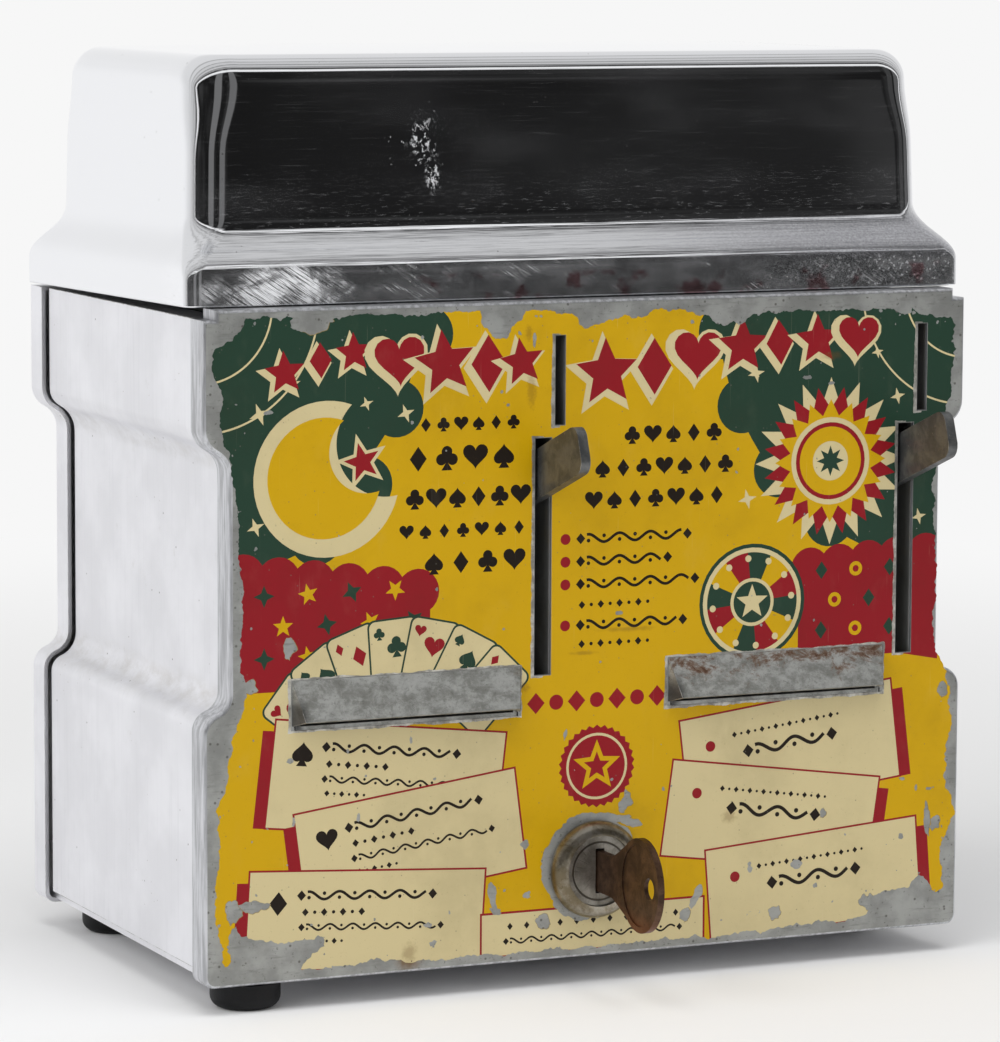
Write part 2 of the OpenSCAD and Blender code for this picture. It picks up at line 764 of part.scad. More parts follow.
module coin_ramp() color("lightgray") seat()
  along_x(-leg_in, leg_in)
    polygon([
      [ramp_y0, ramp_hi], [ramp_y0, ramp_hi - sheet], [ramp_y1, ramp_lo - sheet], [ramp_y1, ramp_lo]
    ]);

module magazine(x) color("lightgray") seat() {
  y0 = mag_front;
  y1 = mag_back;
  wall = mag_half - mag_t;
  difference() {
    box([x - mag_half, y0, shelf_under], [x + mag_half, y1, mag_top]);
    box([x - wall, y0 + mag_t, ledge_z], [x + wall, y1 - mag_t, mag_top + 1]);
    box([x - wall + ledge_w, y0 + mag_t, shelf_under - 1], [x + wall - ledge_w, y1 - mag_t, ledge_z + 1]);
    box([x - wall, y0 - 1, ledge_z], [x + wall, y0 + mag_t + 1, ledge_z + outlet_h]);
    box(
      [x - dog_half - 2 * gap, y1 - mag_t - 1, shelf_under - 1],
      [x + dog_half + 2 * gap, y1 + 1, ledge_z + gap]
    );
  }
  for (e = [x - mag_half, x + mag_half - mag_t])
    box([e, y0, deck_top], [e + mag_t, y0 + leg_y, shelf_under + 0.1]);
  box([x - mag_half, y1 - leg_y, deck_top], [x - mag_half + mag_t, y1, shelf_under + 0.1]);
}

module card_stack(x) color("cornsilk") seat()
  box([x - card_w / 2, card_y0, ledge_z], [x + card_w / 2, card_y1, ledge_z + stack_h]);

weight_t = 8;
knob_r = 6;
knob_h = 8;

module card_weight(x) color("slategray") seat() {
  z = ledge_z + stack_h + gap;
  mid = (card_y0 + card_y1) / 2;
  box([x - card_w / 2, card_y0, z], [x + card_w / 2, card_y1, z + weight_t]);
  translate([x, mid, z + weight_t]) rotate_extrude() polygon([
    [0, -0.1], [0.6 * knob_r, -0.1], [0.5 * knob_r, 0.4 * knob_h],
    [knob_r, 0.7 * knob_h], [knob_r, knob_h], [0, knob_h]
  ]);
}

// The pusher's dog drives the bottom card out, and its lug stands behind the lever's tail
module pusher(x) color("goldenrod") seat() {
  lever_x = x + lever_off;
  strip_x0 = lever_x + lever_t / 2 - strip_w;
  box([x - 10, bar_y0, pusher_low], [lever_x + lever_t / 2, bar_y1, pusher_top]);
  box([strip_x0, lug_y, pusher_low], [lever_x + lever_t / 2, bar_y1, pusher_top]);
  box(
    [lever_x - lever_t / 2, lug_y, pusher_low],
    [lever_x + lever_t / 2, lug_y + lug_d, lug_top]
  );
  box([x - dog_half, dog_y, pusher_low], [x + dog_half, dog_y + dog_d, ledge_z - gap]);
  translate([x, guide_y, guide_low]) cylinder(r = guide_r, h = pusher_low - guide_low + 0.1);
  translate([x, guide_y, deck_z - gap - 1.5]) cylinder(r = guide_head_r, h = 1.5);
}

pull_r = 3;

// Close wound return spring under the deck, hooked on the pusher's guide pin
module pusher_spring(x) color("slategray") seat() {
  z = guide_low + 2;
  y0 = mag_front + deck_t + gap;
  y1 = guide_y - guide_r - gap;
  difference() {
    tube_y(x, z, pull_r, y0 + 6, y1 - 4);
    tube_y(x, z, pull_r - 2 * wire_r, y0 + 5, y1 - 3);
  }
  for (e = [[y0, y0 + 6.5], [y1 - 4.5, y1]]) tube_y(x, z + pull_r - wire_r, wire_r, e[0], e[1]);
  translate([x, guide_y, z + pull_r - wire_r]) rotate_extrude()
    translate([guide_r + fit + wire_r, 0]) circle(r = wire_r, $fn = 24);
}

// Lid: stacked rounded rectangles from the skirt over the shoulder to the crowned top

function ring(hw, y0, y1, r, z, lift, n = 6) =
  [
    for (q = [0:3]) for (i = [0:n])
      let (
        a = 90 * q + 90 * i / n,
        cx = (q == 0 || q == 3) ? hw - r : r - hw,
        cy = q < 2 ? y1 - r : y0 + r
      )
      [cx + r * cos(a), cy + r * sin(a), z + lift * (cy + r * sin(a) - lid_y0) / (lid_y1 - lid_y0)]
  ];

function bezier(a, b, c, d, t) =
  pow(1 - t, 3) * a + 3 * t * pow(1 - t, 2) * b + 3 * t * t * (1 - t) * c + pow(t, 3) * d;

function lid_ring(u, inset, z, s, lift = 0, r_cut = 0) =
  let (r = skirt_r + (box_r - skirt_r) * u - r_cut)
  ring(
    lid_w / 2 - box_in_x * u - inset - s,
    lid_y0 + box_in_y * u + inset + s,
    lid_y1 - box_in_y * u - inset - s,
    max(r - s, 0.4), z, lift
  );

// s is 0 on the outside and the sheet's thickness on the inside
function lid_rings(s) =
  let (
    sh = lid_z0 + skirt_h,
    top = lid_z0 + lid_h,
    wall_low = sh + shoulder_h,
    wall_top = top - top_r
  )
  [
    lid_ring(0, 0, lid_z0, s),
    for (t = [0:0.0625:1])
      let (p = bezier([0, sh - 2.6], [0, sh + 1.6], [1, sh + 2.4], [1, wall_low], t))
      lid_ring(p[0], 0, p[1], s),
    for (i = [0:6])
      let (a = 15 * i, e = top_r * (1 - cos(a)))
      lid_ring(1, draft + e, wall_top + (top_r - s) * sin(a), s, lid_lift, e),
    for (k = [0.3, 0.65])
      lid_ring(1, draft + top_r + 24 * k, top - s + crown * (1 - pow(1 - k, 2)), s, lid_lift, top_r)
  ];

module lid_shell() {
  n = 28;
  outer = lid_rings(0);
  inner = lid_rings(sheet);
  m = len(outer);
  mid = (lid_y0 + lid_y1) / 2;
  top = lid_z0 + lid_h + crown + lid_lift / 2;
  pts = concat(
    [for (r = outer) each r], [for (r = inner) each r],
    [[0, mid, top], [0, mid, top - sheet]]
  );
  base_in = m * n;
  function wall(o, flip) = [
    for (i = [0:m - 2]) for (j = [0:n - 1])
      let (a = o + i * n + j, b = o + i * n + (j + 1) % n, c = a + n, d = b + n)
      each flip ? [[a, b, c], [b, d, c]] : [[a, c, b], [b, c, d]]
  ];
  rim = [
    for (j = [0:n - 1])
      let (a = j, b = (j + 1) % n, c = base_in + a, d = base_in + b)
      each [[a, b, c], [b, d, c]]
  ];
  top_row = (m - 1) * n;
  cap_out = [for (j = [0:n - 1]) [top_row + j, 2 * base_in, top_row + (j + 1) % n]];
  cap_in = [for (j = [0:n - 1]) base_in * [1, 1, 2] + [top_row + j, top_row + (j + 1) % n, 1]];
  polyhedron(pts, concat(wall(0, false), wall(base_in, true), rim, cap_out, cap_in));
}

module lid() color("whitesmoke") seat() tilted() lid_shell();

// Knuckle k of the hinge, from the left: even ones belong to the case
function knuckle_x(k) = -hinge_len / 2 + hinge_len * k / knuckles;

module knuckle_row(first) {
  for (k = [first:2:knuckles - 1])
    tube_x(hinge_y, hinge_z, knuckle_r, knuckle_x(k) + knuckle_gap, knuckle_x(k + 1) - knuckle_gap);
}

module hinge_bore() tube_x(hinge_y, hinge_z, hinge_pin_r + fit, -hinge_len, hinge_len);

module hinge_leaf_lid() color("lightslategray") seat() tilted() difference() {
  union() {
    knuckle_row(1);
    box(
      [-hinge_len / 2, lid_y1, hinge_z + knuckle_r + gap],
      [hinge_len / 2, lid_y1 + leaf_t, lid_leaf_top]
    );
    for (k = [1:2:knuckles - 1])
      box(
        [knuckle_x(k) + knuckle_gap, lid_y1, hinge_z],
        [knuckle_x(k + 1) - knuckle_gap, hinge_y - hinge_pin_r, hinge_z + knuckle_r + 2 * gap]
      );
  }
  hinge_bore();
}

module hinge_leaf_case() color("lightslategray") seat() difference() {
  union() {
    knuckle_row(0);
    box(
      [-hinge_len / 2, case_d, case_leaf_low],
      [hinge_len / 2, case_d + leaf_t, hinge_z - knuckle_r - 2 * gap]
    );
    for (k = [0:2:knuckles - 1])
      box(
        [knuckle_x(k) + knuckle_gap, case_d, case_leaf_low],
        [knuckle_x(k + 1) - knuckle_gap, case_d + leaf_t, hinge_z]
      );
  }
  hinge_bore();
}

module hinge_pin() color("dimgray") seat()
  tube_x(hinge_y, hinge_z, hinge_pin_r, -hinge_len / 2 - pin_proud, hinge_len / 2 + pin_proud);

// Low dome of a rivet or screw, standing out backwards
module dome(x, y, z, r, h) translate([x, y, z]) rotate([-90, 0, 0]) rotate_extrude()
  polygon(concat([[0, 0]], arc([0, 0], r, 0, 90, 8) * [[1, 0], [0, h / r]]));

module rivet_row(y, z) for (x = rivet_x) dome(x, y, z, rivet_r, rivet_h);

module lid_rivets() color("lightgray") seat() tilted()
  rivet_row(lid_y1 + leaf_t, (hinge_z + knuckle_r + gap + lid_leaf_top) / 2);

module case_rivets() color("lightgray") seat() rivet_row(case_d + leaf_t, case_leaf_low + rivet_up);

// Feet and fasteners

// The neck of a foot stands clear of the front pan's lower flange
module foot(i) color("black") seat() translate([foot_spots[i][0], foot_spots[i][1], -foot_h])
  rotate_extrude() polygon(concat(
    [
      [foot_screw_r + screw_play, foot_head_lift + foot_head_h],
      [sole_hole_r, foot_head_lift + foot_head_h], [sole_hole_r, 0], [foot_r - foot_round, 0]
    ],
    arc([foot_r - foot_round, foot_round], foot_round, -90, 0, 6),
    [
      [foot_r, foot_h - foot_clear], [foot_neck_r, foot_h - foot_clear], [foot_neck_r, foot_h + sheet],
      [foot_screw_r + screw_play, foot_h + sheet]
    ]
  ));

module foot_screws() color("gray") seat() for (p = foot_spots) translate([p[0], p[1], -foot_h]) {
  screw_top = foot_h + base_top + foot_screw_up;
  translate([0, 0, foot_head_lift]) {
    cylinder(r = foot_head_r, h = foot_head_h);
    cylinder(r = foot_screw_r, h = screw_top - foot_head_lift);
  }
}

module foot_nuts() color("darkgray") seat() for (p = foot_spots)
  translate([p[0], p[1], base_top]) difference() {
    cylinder(r = foot_nut_r, h = foot_nut_h, $fn = 6);
    translate([0, 0, -1]) cylinder(r = foot_screw_r + fit, h = foot_nut_h + 2);
  }

module back_screws() color("gray") seat() for (p = back_spots) {
  tube_y(p[0], p[1], back_screw_r, case_d - back_screw_len, case_d + 0.1);
  dome(p[0], case_d, p[1], back_head_r, back_head_h);
}

front_pan();
side_panel(-1);  // side_panel_left
side_panel(1);  // side_panel_right
card_hood(-unit_x);  // card_hood_left
card_hood(unit_x);  // card_hood_right
lever_bracket(-unit_x);  // lever_bracket_left
lever_bracket(unit_x);  // lever_bracket_right
lever_shaft(-unit_x);  // lever_shaft_left
lever_shaft(unit_x);  // lever_shaft_right
shaft_clip(-unit_x);  // shaft_clip_left
shaft_clip(unit_x);  // shaft_clip_right
coin_chute(-unit_x);  // coin_chute_left
coin_chute(unit_x);  // coin_chute_right
lock_barrel();
lock_nut();
lock_plug();
lock_cam();
cam_screw();
key();
lever(-unit_x);  // lever_left
lever(unit_x);  // lever_right
lever_spring(-unit_x);  // lever_spring_left
lever_spring(unit_x);  // lever_spring_right
back_pan();
base_pan();
deck();
coin_ramp();
magazine(-unit_x);  // magazine_left
magazine(unit_x);  // magazine_right
card_stack(-unit_x);  // card_stack_left
card_stack(unit_x);  // card_stack_right
card_weight(-unit_x);  // card_weight_left
card_weight(unit_x);  // card_weight_right
pusher(-unit_x);  // pusher_left
pusher(unit_x);  // pusher_right
pusher_spring(-unit_x);  // pusher_spring_left
pusher_spring(unit_x);  // pusher_spring_right
lid();
hinge_leaf_lid();
hinge_leaf_case();
hinge_pin();
lid_rivets();
case_rivets();
foot(0);  // foot_front_left
foot(1);  // foot_front_middle
foot(2);  // foot_front_right
foot(3);  // foot_rear_left
foot(4);  // foot_rear_right
foot_screws();
foot_nuts();
back_screws();
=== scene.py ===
import json
import math
import bmesh
import bpy
import numpy as np
from mathutils import Matrix, Vector
from mathutils.geometry import delaunay_2d_cdt

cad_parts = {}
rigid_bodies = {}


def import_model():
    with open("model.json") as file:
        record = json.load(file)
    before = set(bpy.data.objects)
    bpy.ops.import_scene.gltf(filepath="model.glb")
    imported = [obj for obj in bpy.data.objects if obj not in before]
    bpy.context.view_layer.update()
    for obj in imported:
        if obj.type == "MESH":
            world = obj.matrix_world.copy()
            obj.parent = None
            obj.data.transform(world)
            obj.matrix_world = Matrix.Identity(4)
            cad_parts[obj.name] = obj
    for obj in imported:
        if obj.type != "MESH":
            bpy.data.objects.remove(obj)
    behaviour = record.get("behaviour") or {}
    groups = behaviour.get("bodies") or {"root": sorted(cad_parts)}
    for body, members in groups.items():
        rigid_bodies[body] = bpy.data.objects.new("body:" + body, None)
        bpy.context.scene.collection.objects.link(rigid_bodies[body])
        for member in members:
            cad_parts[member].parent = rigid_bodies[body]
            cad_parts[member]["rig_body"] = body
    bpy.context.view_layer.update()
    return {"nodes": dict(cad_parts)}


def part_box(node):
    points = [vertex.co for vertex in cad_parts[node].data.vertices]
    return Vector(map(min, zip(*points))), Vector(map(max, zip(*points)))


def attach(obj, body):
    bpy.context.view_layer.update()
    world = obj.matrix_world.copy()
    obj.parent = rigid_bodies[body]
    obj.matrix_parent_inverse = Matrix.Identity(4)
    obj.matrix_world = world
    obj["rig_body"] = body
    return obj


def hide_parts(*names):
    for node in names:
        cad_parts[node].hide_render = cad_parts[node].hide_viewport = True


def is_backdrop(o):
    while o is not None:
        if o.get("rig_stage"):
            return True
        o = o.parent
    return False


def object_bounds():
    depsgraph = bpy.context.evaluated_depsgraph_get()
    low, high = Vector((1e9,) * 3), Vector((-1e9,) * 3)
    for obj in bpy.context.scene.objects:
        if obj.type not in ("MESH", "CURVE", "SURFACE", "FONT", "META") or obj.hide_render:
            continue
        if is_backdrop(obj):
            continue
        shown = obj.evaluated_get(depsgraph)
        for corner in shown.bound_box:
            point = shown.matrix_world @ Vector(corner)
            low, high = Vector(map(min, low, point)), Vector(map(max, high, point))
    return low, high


print("frame: loading the packed dispenser")
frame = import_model()
scene = bpy.context.scene
mm = 0.001
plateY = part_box("front_pan")[0].y  # outer face of the front plate
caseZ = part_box("front_pan")[0].z  # bottom edge of the case, above the feet


# Colours are written as 0 to 255, as a picture shows them
def tone(red, green, blue):
    share = np.array([red, green, blue]) / 255
    return (*np.where(share <= 0.04045, share / 12.92, ((share + 0.055) / 1.055) ** 2.4), 1.0)


print("camera: the photograph's view")
cameraView = {
    "place": (-0.48328, -1.06580, 0.24451),
    "yaw": 24.168,  # degrees to the right of straight ahead
    "down": 6.928,
    "roll": 0.246,
    "lens": 173.29,
    "near": 0.01,
    "far": 50,
}


def linked(name, data):
    thing = bpy.data.objects.new(name, data)
    scene.collection.objects.link(thing)
    return thing


# The camera looks along its own -z, so it is turned round z by yaw, up from the floor by x, and by roll at last
def aimCamera():
    yaw, down, roll = (math.radians(cameraView[k]) for k in ("yaw", "down", "roll"))
    camera = linked("camera", bpy.data.cameras.new("camera"))
    view = Matrix.Translation(cameraView["place"])
    for angle, axis in ((-yaw, "Z"), (math.pi / 2 - down, "X"), (roll, "Z")):
        view = view @ Matrix.Rotation(angle, 4, axis)
    camera.matrix_world = view
    camera.data.lens = cameraView["lens"]
    camera.data.clip_start, camera.data.clip_end = cameraView["near"], cameraView["far"]
    scene.camera = camera


aimCamera()
scene.view_settings.view_transform = "Standard"


# The nodes of one material, or of the world. add gives back a node, and the other methods their last output.
# They take outputs of nodes or plain values. Grain, places and depths are in mm.
class Finish:
    def __init__(self, owner, coordinates="Object"):
        if isinstance(owner, str):
            owner = bpy.data.materials.new(owner)
        owner.use_nodes = True
        self.owner, self.tree = owner, owner.node_tree
        self.tree.nodes.clear()
        self.place = self.add("ShaderNodeTexCoord").outputs[coordinates]
        self.axes = self.add("ShaderNodeSeparateXYZ", {0: self.place}).outputs

    def add(self, kind, inputs=None, **settings):
        node = self.tree.nodes.new(kind)
        for key, value in settings.items():
            setattr(node, key, value)
        for key, value in (inputs or {}).items():
            if isinstance(value, bpy.types.NodeSocket):
                self.tree.links.new(value, node.inputs[key])
            else:
                node.inputs[key].default_value = value
        return node

    # all the values joined by one operation, from the left
    def math(self, operation, first, *others):
        for other in others or (0.0,):
            first = self.add("ShaderNodeMath", {0: first, 1: other}, operation=operation).outputs[0]
        return first

    def times(self, *values):
        return self.math("MULTIPLY", *values)

    def plus(self, *values):
        return self.math("ADD", *values)

    def less(self, *values):
        return self.math("SUBTRACT", *values)

    def most(self, *values):
        return self.math("MAXIMUM", *values)

    def distance(self, across, up):
        return self.math("SQRT", self.plus(self.times(across, across), self.times(up, up)))

    # the pattern is stretched by its grain along x, y and z, or by one grain for all three
    def scaled(self, grain):
        size = tuple(np.broadcast_to(1 / (np.array(grain, float) * mm), 3))
        return self.add("ShaderNodeMapping", {"Vector": self.place, "Scale": size}).outputs[0]

    def noiseAt(self, place, detail=3.0, rough=0.5, warp=0.0, scale=1.0):
        inputs = {"Vector": place, "Scale": scale, "Detail": detail, "Roughness": rough, "Distortion": warp}
        return self.add("ShaderNodeTexNoise", inputs).outputs["Fac"]

    def noise(self, grain, detail=3.0, rough=0.55, warp=0.0):
        return self.noiseAt(self.scaled(grain), detail, rough, warp)

    def cells(self, grain):
        return self.add("ShaderNodeTexVoronoi", {"Vector": self.scaled(grain), "Scale": 1.0}).outputs["Distance"]

    # 0 below low, 1 above high and a smooth step between; low may be the larger
    def step(self, value, low, high):
        ends = {"From Min": min(low, high), "From Max": max(low, high)}
        goal = {"To Min": float(low > high), "To Max": float(low <= high)}
        return self.add(
            "ShaderNodeMapRange", {"Value": value, **ends, **goal}, interpolation_type="SMOOTHSTEP",
        ).outputs["Result"]

    # a share from low to high as value goes from 0 to 1
    def between(self, value, low, high):
        return self.add("ShaderNodeMapRange", {"Value": value, "To Min": low, "To Max": high}).outputs["Result"]

    # noise cut to a mask: the grain, then where it is cut, then the noise's own settings
    def patches(self, grain, low, high, *settings):
        return self.step(self.noise(grain, *settings), low, high)

    def dots(self, grain, low, high):
        return self.step(self.cells(grain), low, high)

    # a place along an axis, with heights counted from the bottom edge of the case
    def at(self, letter, place):
        return place * mm + (caseZ if letter == "Z" else 0.0)

    # 0 to 1 from one place along an axis to another
    def along(self, letter, low, high):
        return self.step(self.axes[letter], self.at(letter, low), self.at(letter, high))

    # 1 at a place along an axis, 0 past its reach
    def line(self, letter, place, reach, core=0.0):
        off = self.math("ABSOLUTE", self.less(self.axes[letter], self.at(letter, place)))
        return self.step(off, reach * mm, core * mm)

    # 1 at a place of the front, 0 past its reach, with an uneven edge
    def spot(self, across, height, reach, tall=1.0, uneven=0.35):
        dx = self.math("DIVIDE", self.less(self.axes["X"], self.at("X", across)), reach * mm)
        dz = self.math("DIVIDE", self.less(self.axes["Z"], self.at("Z", height)), reach * tall * mm)
        blur = self.between(self.noise(reach * 0.4, 4), -uneven, uneven)
        return self.step(self.plus(self.distance(dx, dz), blur), 1.0, 0.2)

    def mix(self, share, first, second):
        return self.add("ShaderNodeMix", {0: share, 6: first, 7: second}, data_type="RGBA").outputs[2]

    # the base colour goes from the first tone to the second
    def coat(self, share, first, second):
        self.base = self.mix(share, tone(*first), tone(*second))

    # a colour is laid over the base where the mask is
    def stain(self, mask, share, colour):
        self.base = self.mix(self.times(mask, share), self.base, tone(*colour))

    def surface(self, metallic, rough, height, depth, specular=0.5):
        relief = self.add("ShaderNodeBump", {"Strength": 1.0, "Distance": depth * mm, "Height": height})
        shader = self.add("ShaderNodeBsdfPrincipled", {
            "Base Color": self.base, "Metallic": metallic, "Roughness": rough, "Normal": relief.outputs[0],
            "Specular IOR Level": specular,
        })
        self.add("ShaderNodeOutputMaterial", {"Surface": shader.outputs[0]})
        return self.owner


print("materials: metal, paint, card and rubber")


# Bare plate under the paint: flat grey with cloudy patches, dark specks, streaks and a rust stain
def bareZinc():
    dull = (104, 105, 100)
    f = Finish("bareZinc")
    cloud, grain = f.noise(9, 5, 0.6), f.noise(0.8)
    f.coat(f.step(cloud, 0.35, 0.65), (140, 141, 138), (168, 169, 166))
    f.stain(f.step(grain, 0.62, 0.78), 1.0, dull)
    f.stain(f.patches((5, 5, 0.7), 0.55, 0.8, 4), 0.5, dull)
    f.stain(f.dots(2.6, 0.16, 0.06), 0.7, (70, 66, 60))
    f.stain(f.spot(-46, 3.0, 4.2, 0.8), 0.8, (116, 84, 40))
    return f.surface(0.45, f.between(cloud, 0.40, 0.58), f.plus(f.times(grain, 0.4), cloud), 0.05)


# Brown stains on the print: across, height and reach in mm, and how tall for its width
printStains = [
    (-46, 4.5, 2.6, 1.2), (8, 75.5, 8.5, 0.10), (-3, 70.5, 4.5, 0.14), (30, 59, 5, 0.25), (-16.2, 131, 1.6, 3.4),
    (-17, 144, 1.2, 2.0), (60, 136.5, 3.5, 0.4), (-18, 63.5, 2.2, 0.7), (34.5, 30, 2.4, 0.8),
]


# Printed paint: the ink with cloudy shading, fine dirt, pin holes, a few stains and hairline scratches
def printedInk(name, colour):
    f = Finish(name)
    ink = tone(*colour)
    deep, worn = f.mix(0.16, ink, tone(50, 38, 22)), f.mix(0.035, ink, tone(196, 188, 160))
    f.base = f.mix(f.patches(24, 0.44, 0.78, 5, 0.62), ink, deep)
    f.base = f.mix(f.patches((7, 7, 13), 0.54, 0.8, 4, 0.6), f.base, worn)
    f.stain(f.patches(0.55, 0.62, 0.74, 4, 0.75), 0.30, (84, 64, 34))
    f.stain(f.times(f.patches(1.6, 0.66, 0.76, 5, 0.7), f.patches(12, 0.5, 0.7)), 0.45, (96, 66, 30))
    f.stain(f.dots(2.7, 0.085, 0.03), 0.6, (104, 100, 92))
    for across, height, reach, tall in printStains:
        f.stain(f.spot(across, height, reach, tall, 0.6), 0.38, (104, 70, 28))
    f.stain(f.patches((0.22, 0.22, 18), 0.73, 0.79, 2, 0.5, 0.4), 0.14, (226, 218, 190))
    return f.surface(0.0, f.between(f.noise(5, 4), 0.34, 0.52), f.noise(1.2), 0.010, specular=0.20)


# Satin sheet of the case: pale, with soft upright streaks, faint clouds, scattered dark specks,
# and darker bands along the steps and behind the folded rims: grime, together with painted shade in the creases of the
# steps and in the seam behind the rims
def satinSheet():
    f = Finish("satinSheet")
    f.coat(f.patches(22, 0.35, 0.7, 4), (230, 230, 234), (241, 241, 245))
    streak, patch = f.noise((1.1, 1.1, 34)), f.noise((9, 9, 4), 5, 0.65)
    f.stain(f.step(streak, 0.5, 0.8), 0.20, (210, 211, 215))
    f.stain(f.patches(7, 0.62, 0.78, 5, 0.7), 0.22, (186, 183, 178))
    # darker bands in the creases of the steps: partly grime, partly painted shade where the creases fall in shadow
    for height, reach, share in ((63, 5.5, 0.32), (118, 4.5, 0.22)):
        f.stain(f.times(f.line("Z", height, reach), f.step(patch, 0.36, 0.72)), share, (168, 160, 146))
    # a dark line on the sheet just behind the front plate's folded rim: partly grime, partly painted shade of the seam
    # between the parts
    behind = f.line("Y", plateY / mm + 8.6, 1.6, 0.2)
    f.stain(f.times(behind, f.between(patch, 0.1, 0.9)), 0.6, (126, 124, 122))
    f.stain(f.dots(6.5, 0.050, 0.018), 0.8, (104, 100, 98))
    f.stain(f.times(f.dots(2.2, 0.10, 0.04), f.patches(18, 0.56, 0.66)), 0.6, (128, 118, 104))
    grain = f.plus(f.noise(0.5, 2), f.times(f.noise(30, 2), 1.5))
    return f.surface(0.8, f.between(streak, 0.32, 0.44), grain, 0.03)


# Folded edges, rubbed bright
def rubbedEdge(name, pale, dark):
    f = Finish(name)
    wear = f.patches(3.2, 0.38, 0.66, 4, 0.65)
    f.coat(wear, dark, pale)
    return f.surface(0.7, f.between(wear, 0.5, 0.3), f.noise(0.9), 0.03)


# Where the lid's marks begin and are full, along an axis
lidZones = {
    "front": ("Y", -20, -30), "side": ("X", -89.5, -90.5), "skirt": ("Z", 162, 158), "low": ("Z", 184, 171),
    "coveBottom": ("Z", 157.5, 159.5), "coveTop": ("Z", 170, 166.5), "dulled": ("X", -15, 75),
    "pitted": ("X", 30, 75), "blushed": ("Z", 158, 156.5), "blushedRight": ("X", -60, -42),
}


# Chrome of the lid: polished, with level brushing, hairlines, pits, a struck patch on the front and a rubbed skirt
def lidChrome():
    f = Finish("lidChrome")
    brushing, haze = f.noise((22, 22, 0.14), 3, 0.6), f.noise((30, 30, 12), 5, 0.62)
    zone = {name: f.along(*ends) for name, ends in lidZones.items()}
    front = zone["front"]
    skirt = f.times(front, zone["skirt"])
    side = f.times(zone["side"], f.between(front, 0.18, 0.0))
    pits = f.times(f.dots(1.3, 0.10, 0.04), f.patches(13, 0.54, 0.66, 4))
    f.coat(f.times(f.dots(4.6, 0.060, 0.025), 0.5), (246, 247, 250), (120, 116, 112))
    f.stain(pits, 0.45, (170, 160, 150))
    # the struck patch, a little left of the middle: torn blobs that fall to the right, with dots round them
    hit = f.noise((1.0, 3, 1.7), 4, 0.7, 1.0)
    upper = f.times(f.spot(-37, 187.5, 4.6, 1.7, 0.7), f.step(hit, 0.56, 0.63))
    lower = f.times(f.spot(-34.4, 178.8, 2.4, 1.9, 0.6), f.step(hit, 0.52, 0.59))
    strewn = f.times(f.spot(-38, 187, 11, 1.2, 0.5), f.dots((1.3, 1.3, 1.6), 0.13, 0.06))
    struck = f.times(f.most(upper, lower, strewn), front)
    # straight scratches that fall to the right, thick in the corner of the skirt and thin elsewhere on it
    turned = f.add("ShaderNodeMapping", {
        "Vector": f.place, "Rotation": (0, math.radians(34), 0), "Scale": (5 * mm, 5 * mm, 0.13 * mm),
    }, vector_type="TEXTURE")
    cuts = f.noiseAt(turned.outputs[0])
    dents = f.between(f.patches((9, 9, 5), 0.40, 0.56, 4, 0.6, 0.8), 0.35, 1.0)
    thick = f.times(f.spot(-76, 155.0, 21, 0.60, 0.8), f.step(cuts, 0.36, 0.56), dents)
    thin = f.times(f.patches((14, 14, 5), 0.46, 0.7, 4), f.step(cuts, 0.5, 0.66), 0.45)
    rub = f.times(f.most(thick, thin), skirt)
    # breath of dull film: clouds, hairlines, low dashes and specks on the front, mottling and pitting on the skirt
    clouds = f.times(f.patches((34, 34, 12), 0.44, 0.86, 3, 0.5), 0.028)
    hairs = f.times(f.patches((15, 15, 0.22), 0.60, 0.72, 3, 0.6), 0.05)
    dashes = f.times(f.patches((2.6, 2.6, 0.3), 0.60, 0.70, 2, 0.6), zone["low"], 0.12)
    specks = f.times(pits, f.patches(26, 0.50, 0.62), 0.5)
    breath = f.times(f.plus(clouds, f.most(hairs, dashes), specks), front)
    mottled = f.between(f.patches((6, 6, 5), 0.36, 0.72, 5, 0.7), 0.045, 0.11)
    broad = f.times(f.patches((19, 19, 6), 0.46, 0.66), 0.05)
    pitting = f.times(zone["pitted"], f.patches(0.9, 0.52, 0.66, 3, 0.7), 0.30)
    scuffs = f.plus(f.times(struck, 0.85), f.times(rub, 1.25))
    film = f.most(scuffs, f.times(skirt, f.plus(mottled, broad, pitting)), breath)
    # a painted reflection of the print's red, low on the skirt
    paintedRedReflection = f.times(f.patches((9, 9, 7), 0.54, 0.64, 3, 0.6), zone["blushed"], zone["blushedRight"], front)
    f.stain(paintedRedReflection, 0.65, (170, 70, 84))
    # the cove above the skirt: drawn lines along it, and a dull grainy stretch towards the right
    cove = f.times(zone["coveBottom"], zone["coveTop"], front)
    grainy = f.between(f.patches(0.6, 0.32, 0.68, 4, 0.7), 0.62, 1.0)
    dulled = f.times(zone["dulled"], grainy, cove)
    f.stain(dulled, 0.66, (146, 146, 154))
    drawn = f.times(f.noise((70, 1.1, 1.1), 3, 0.6), 7.0, cove)
    rough = f.plus(
        f.between(haze, 0.012, 0.065), f.times(f.step(brushing, 0.50, 0.74), 0.03), side,
        f.times(f.most(struck, rub), 0.42), f.times(pits, 0.25), f.times(skirt, f.between(haze, 0.0, 0.10)),
        f.times(dulled, 0.13),
    )
    height = f.plus(f.times(brushing, 0.35), f.times(struck, -3.0), drawn, f.times(f.noise(36, 2), 7.0))
    return f.surface(f.less(1.0, f.times(film, 0.72)), rough, height, 0.010)


hoodRust = {
    # how much further it reaches at the top, and the shares of its brown and of its core
    "left": {"top": 0.10, "brown": 0.35, "core": 0.3, "tone": (112, 100, 80)},
    "right": {"top": 0.20, "brown": 0.80, "core": 0.85, "tone": (112, 78, 52)},
}
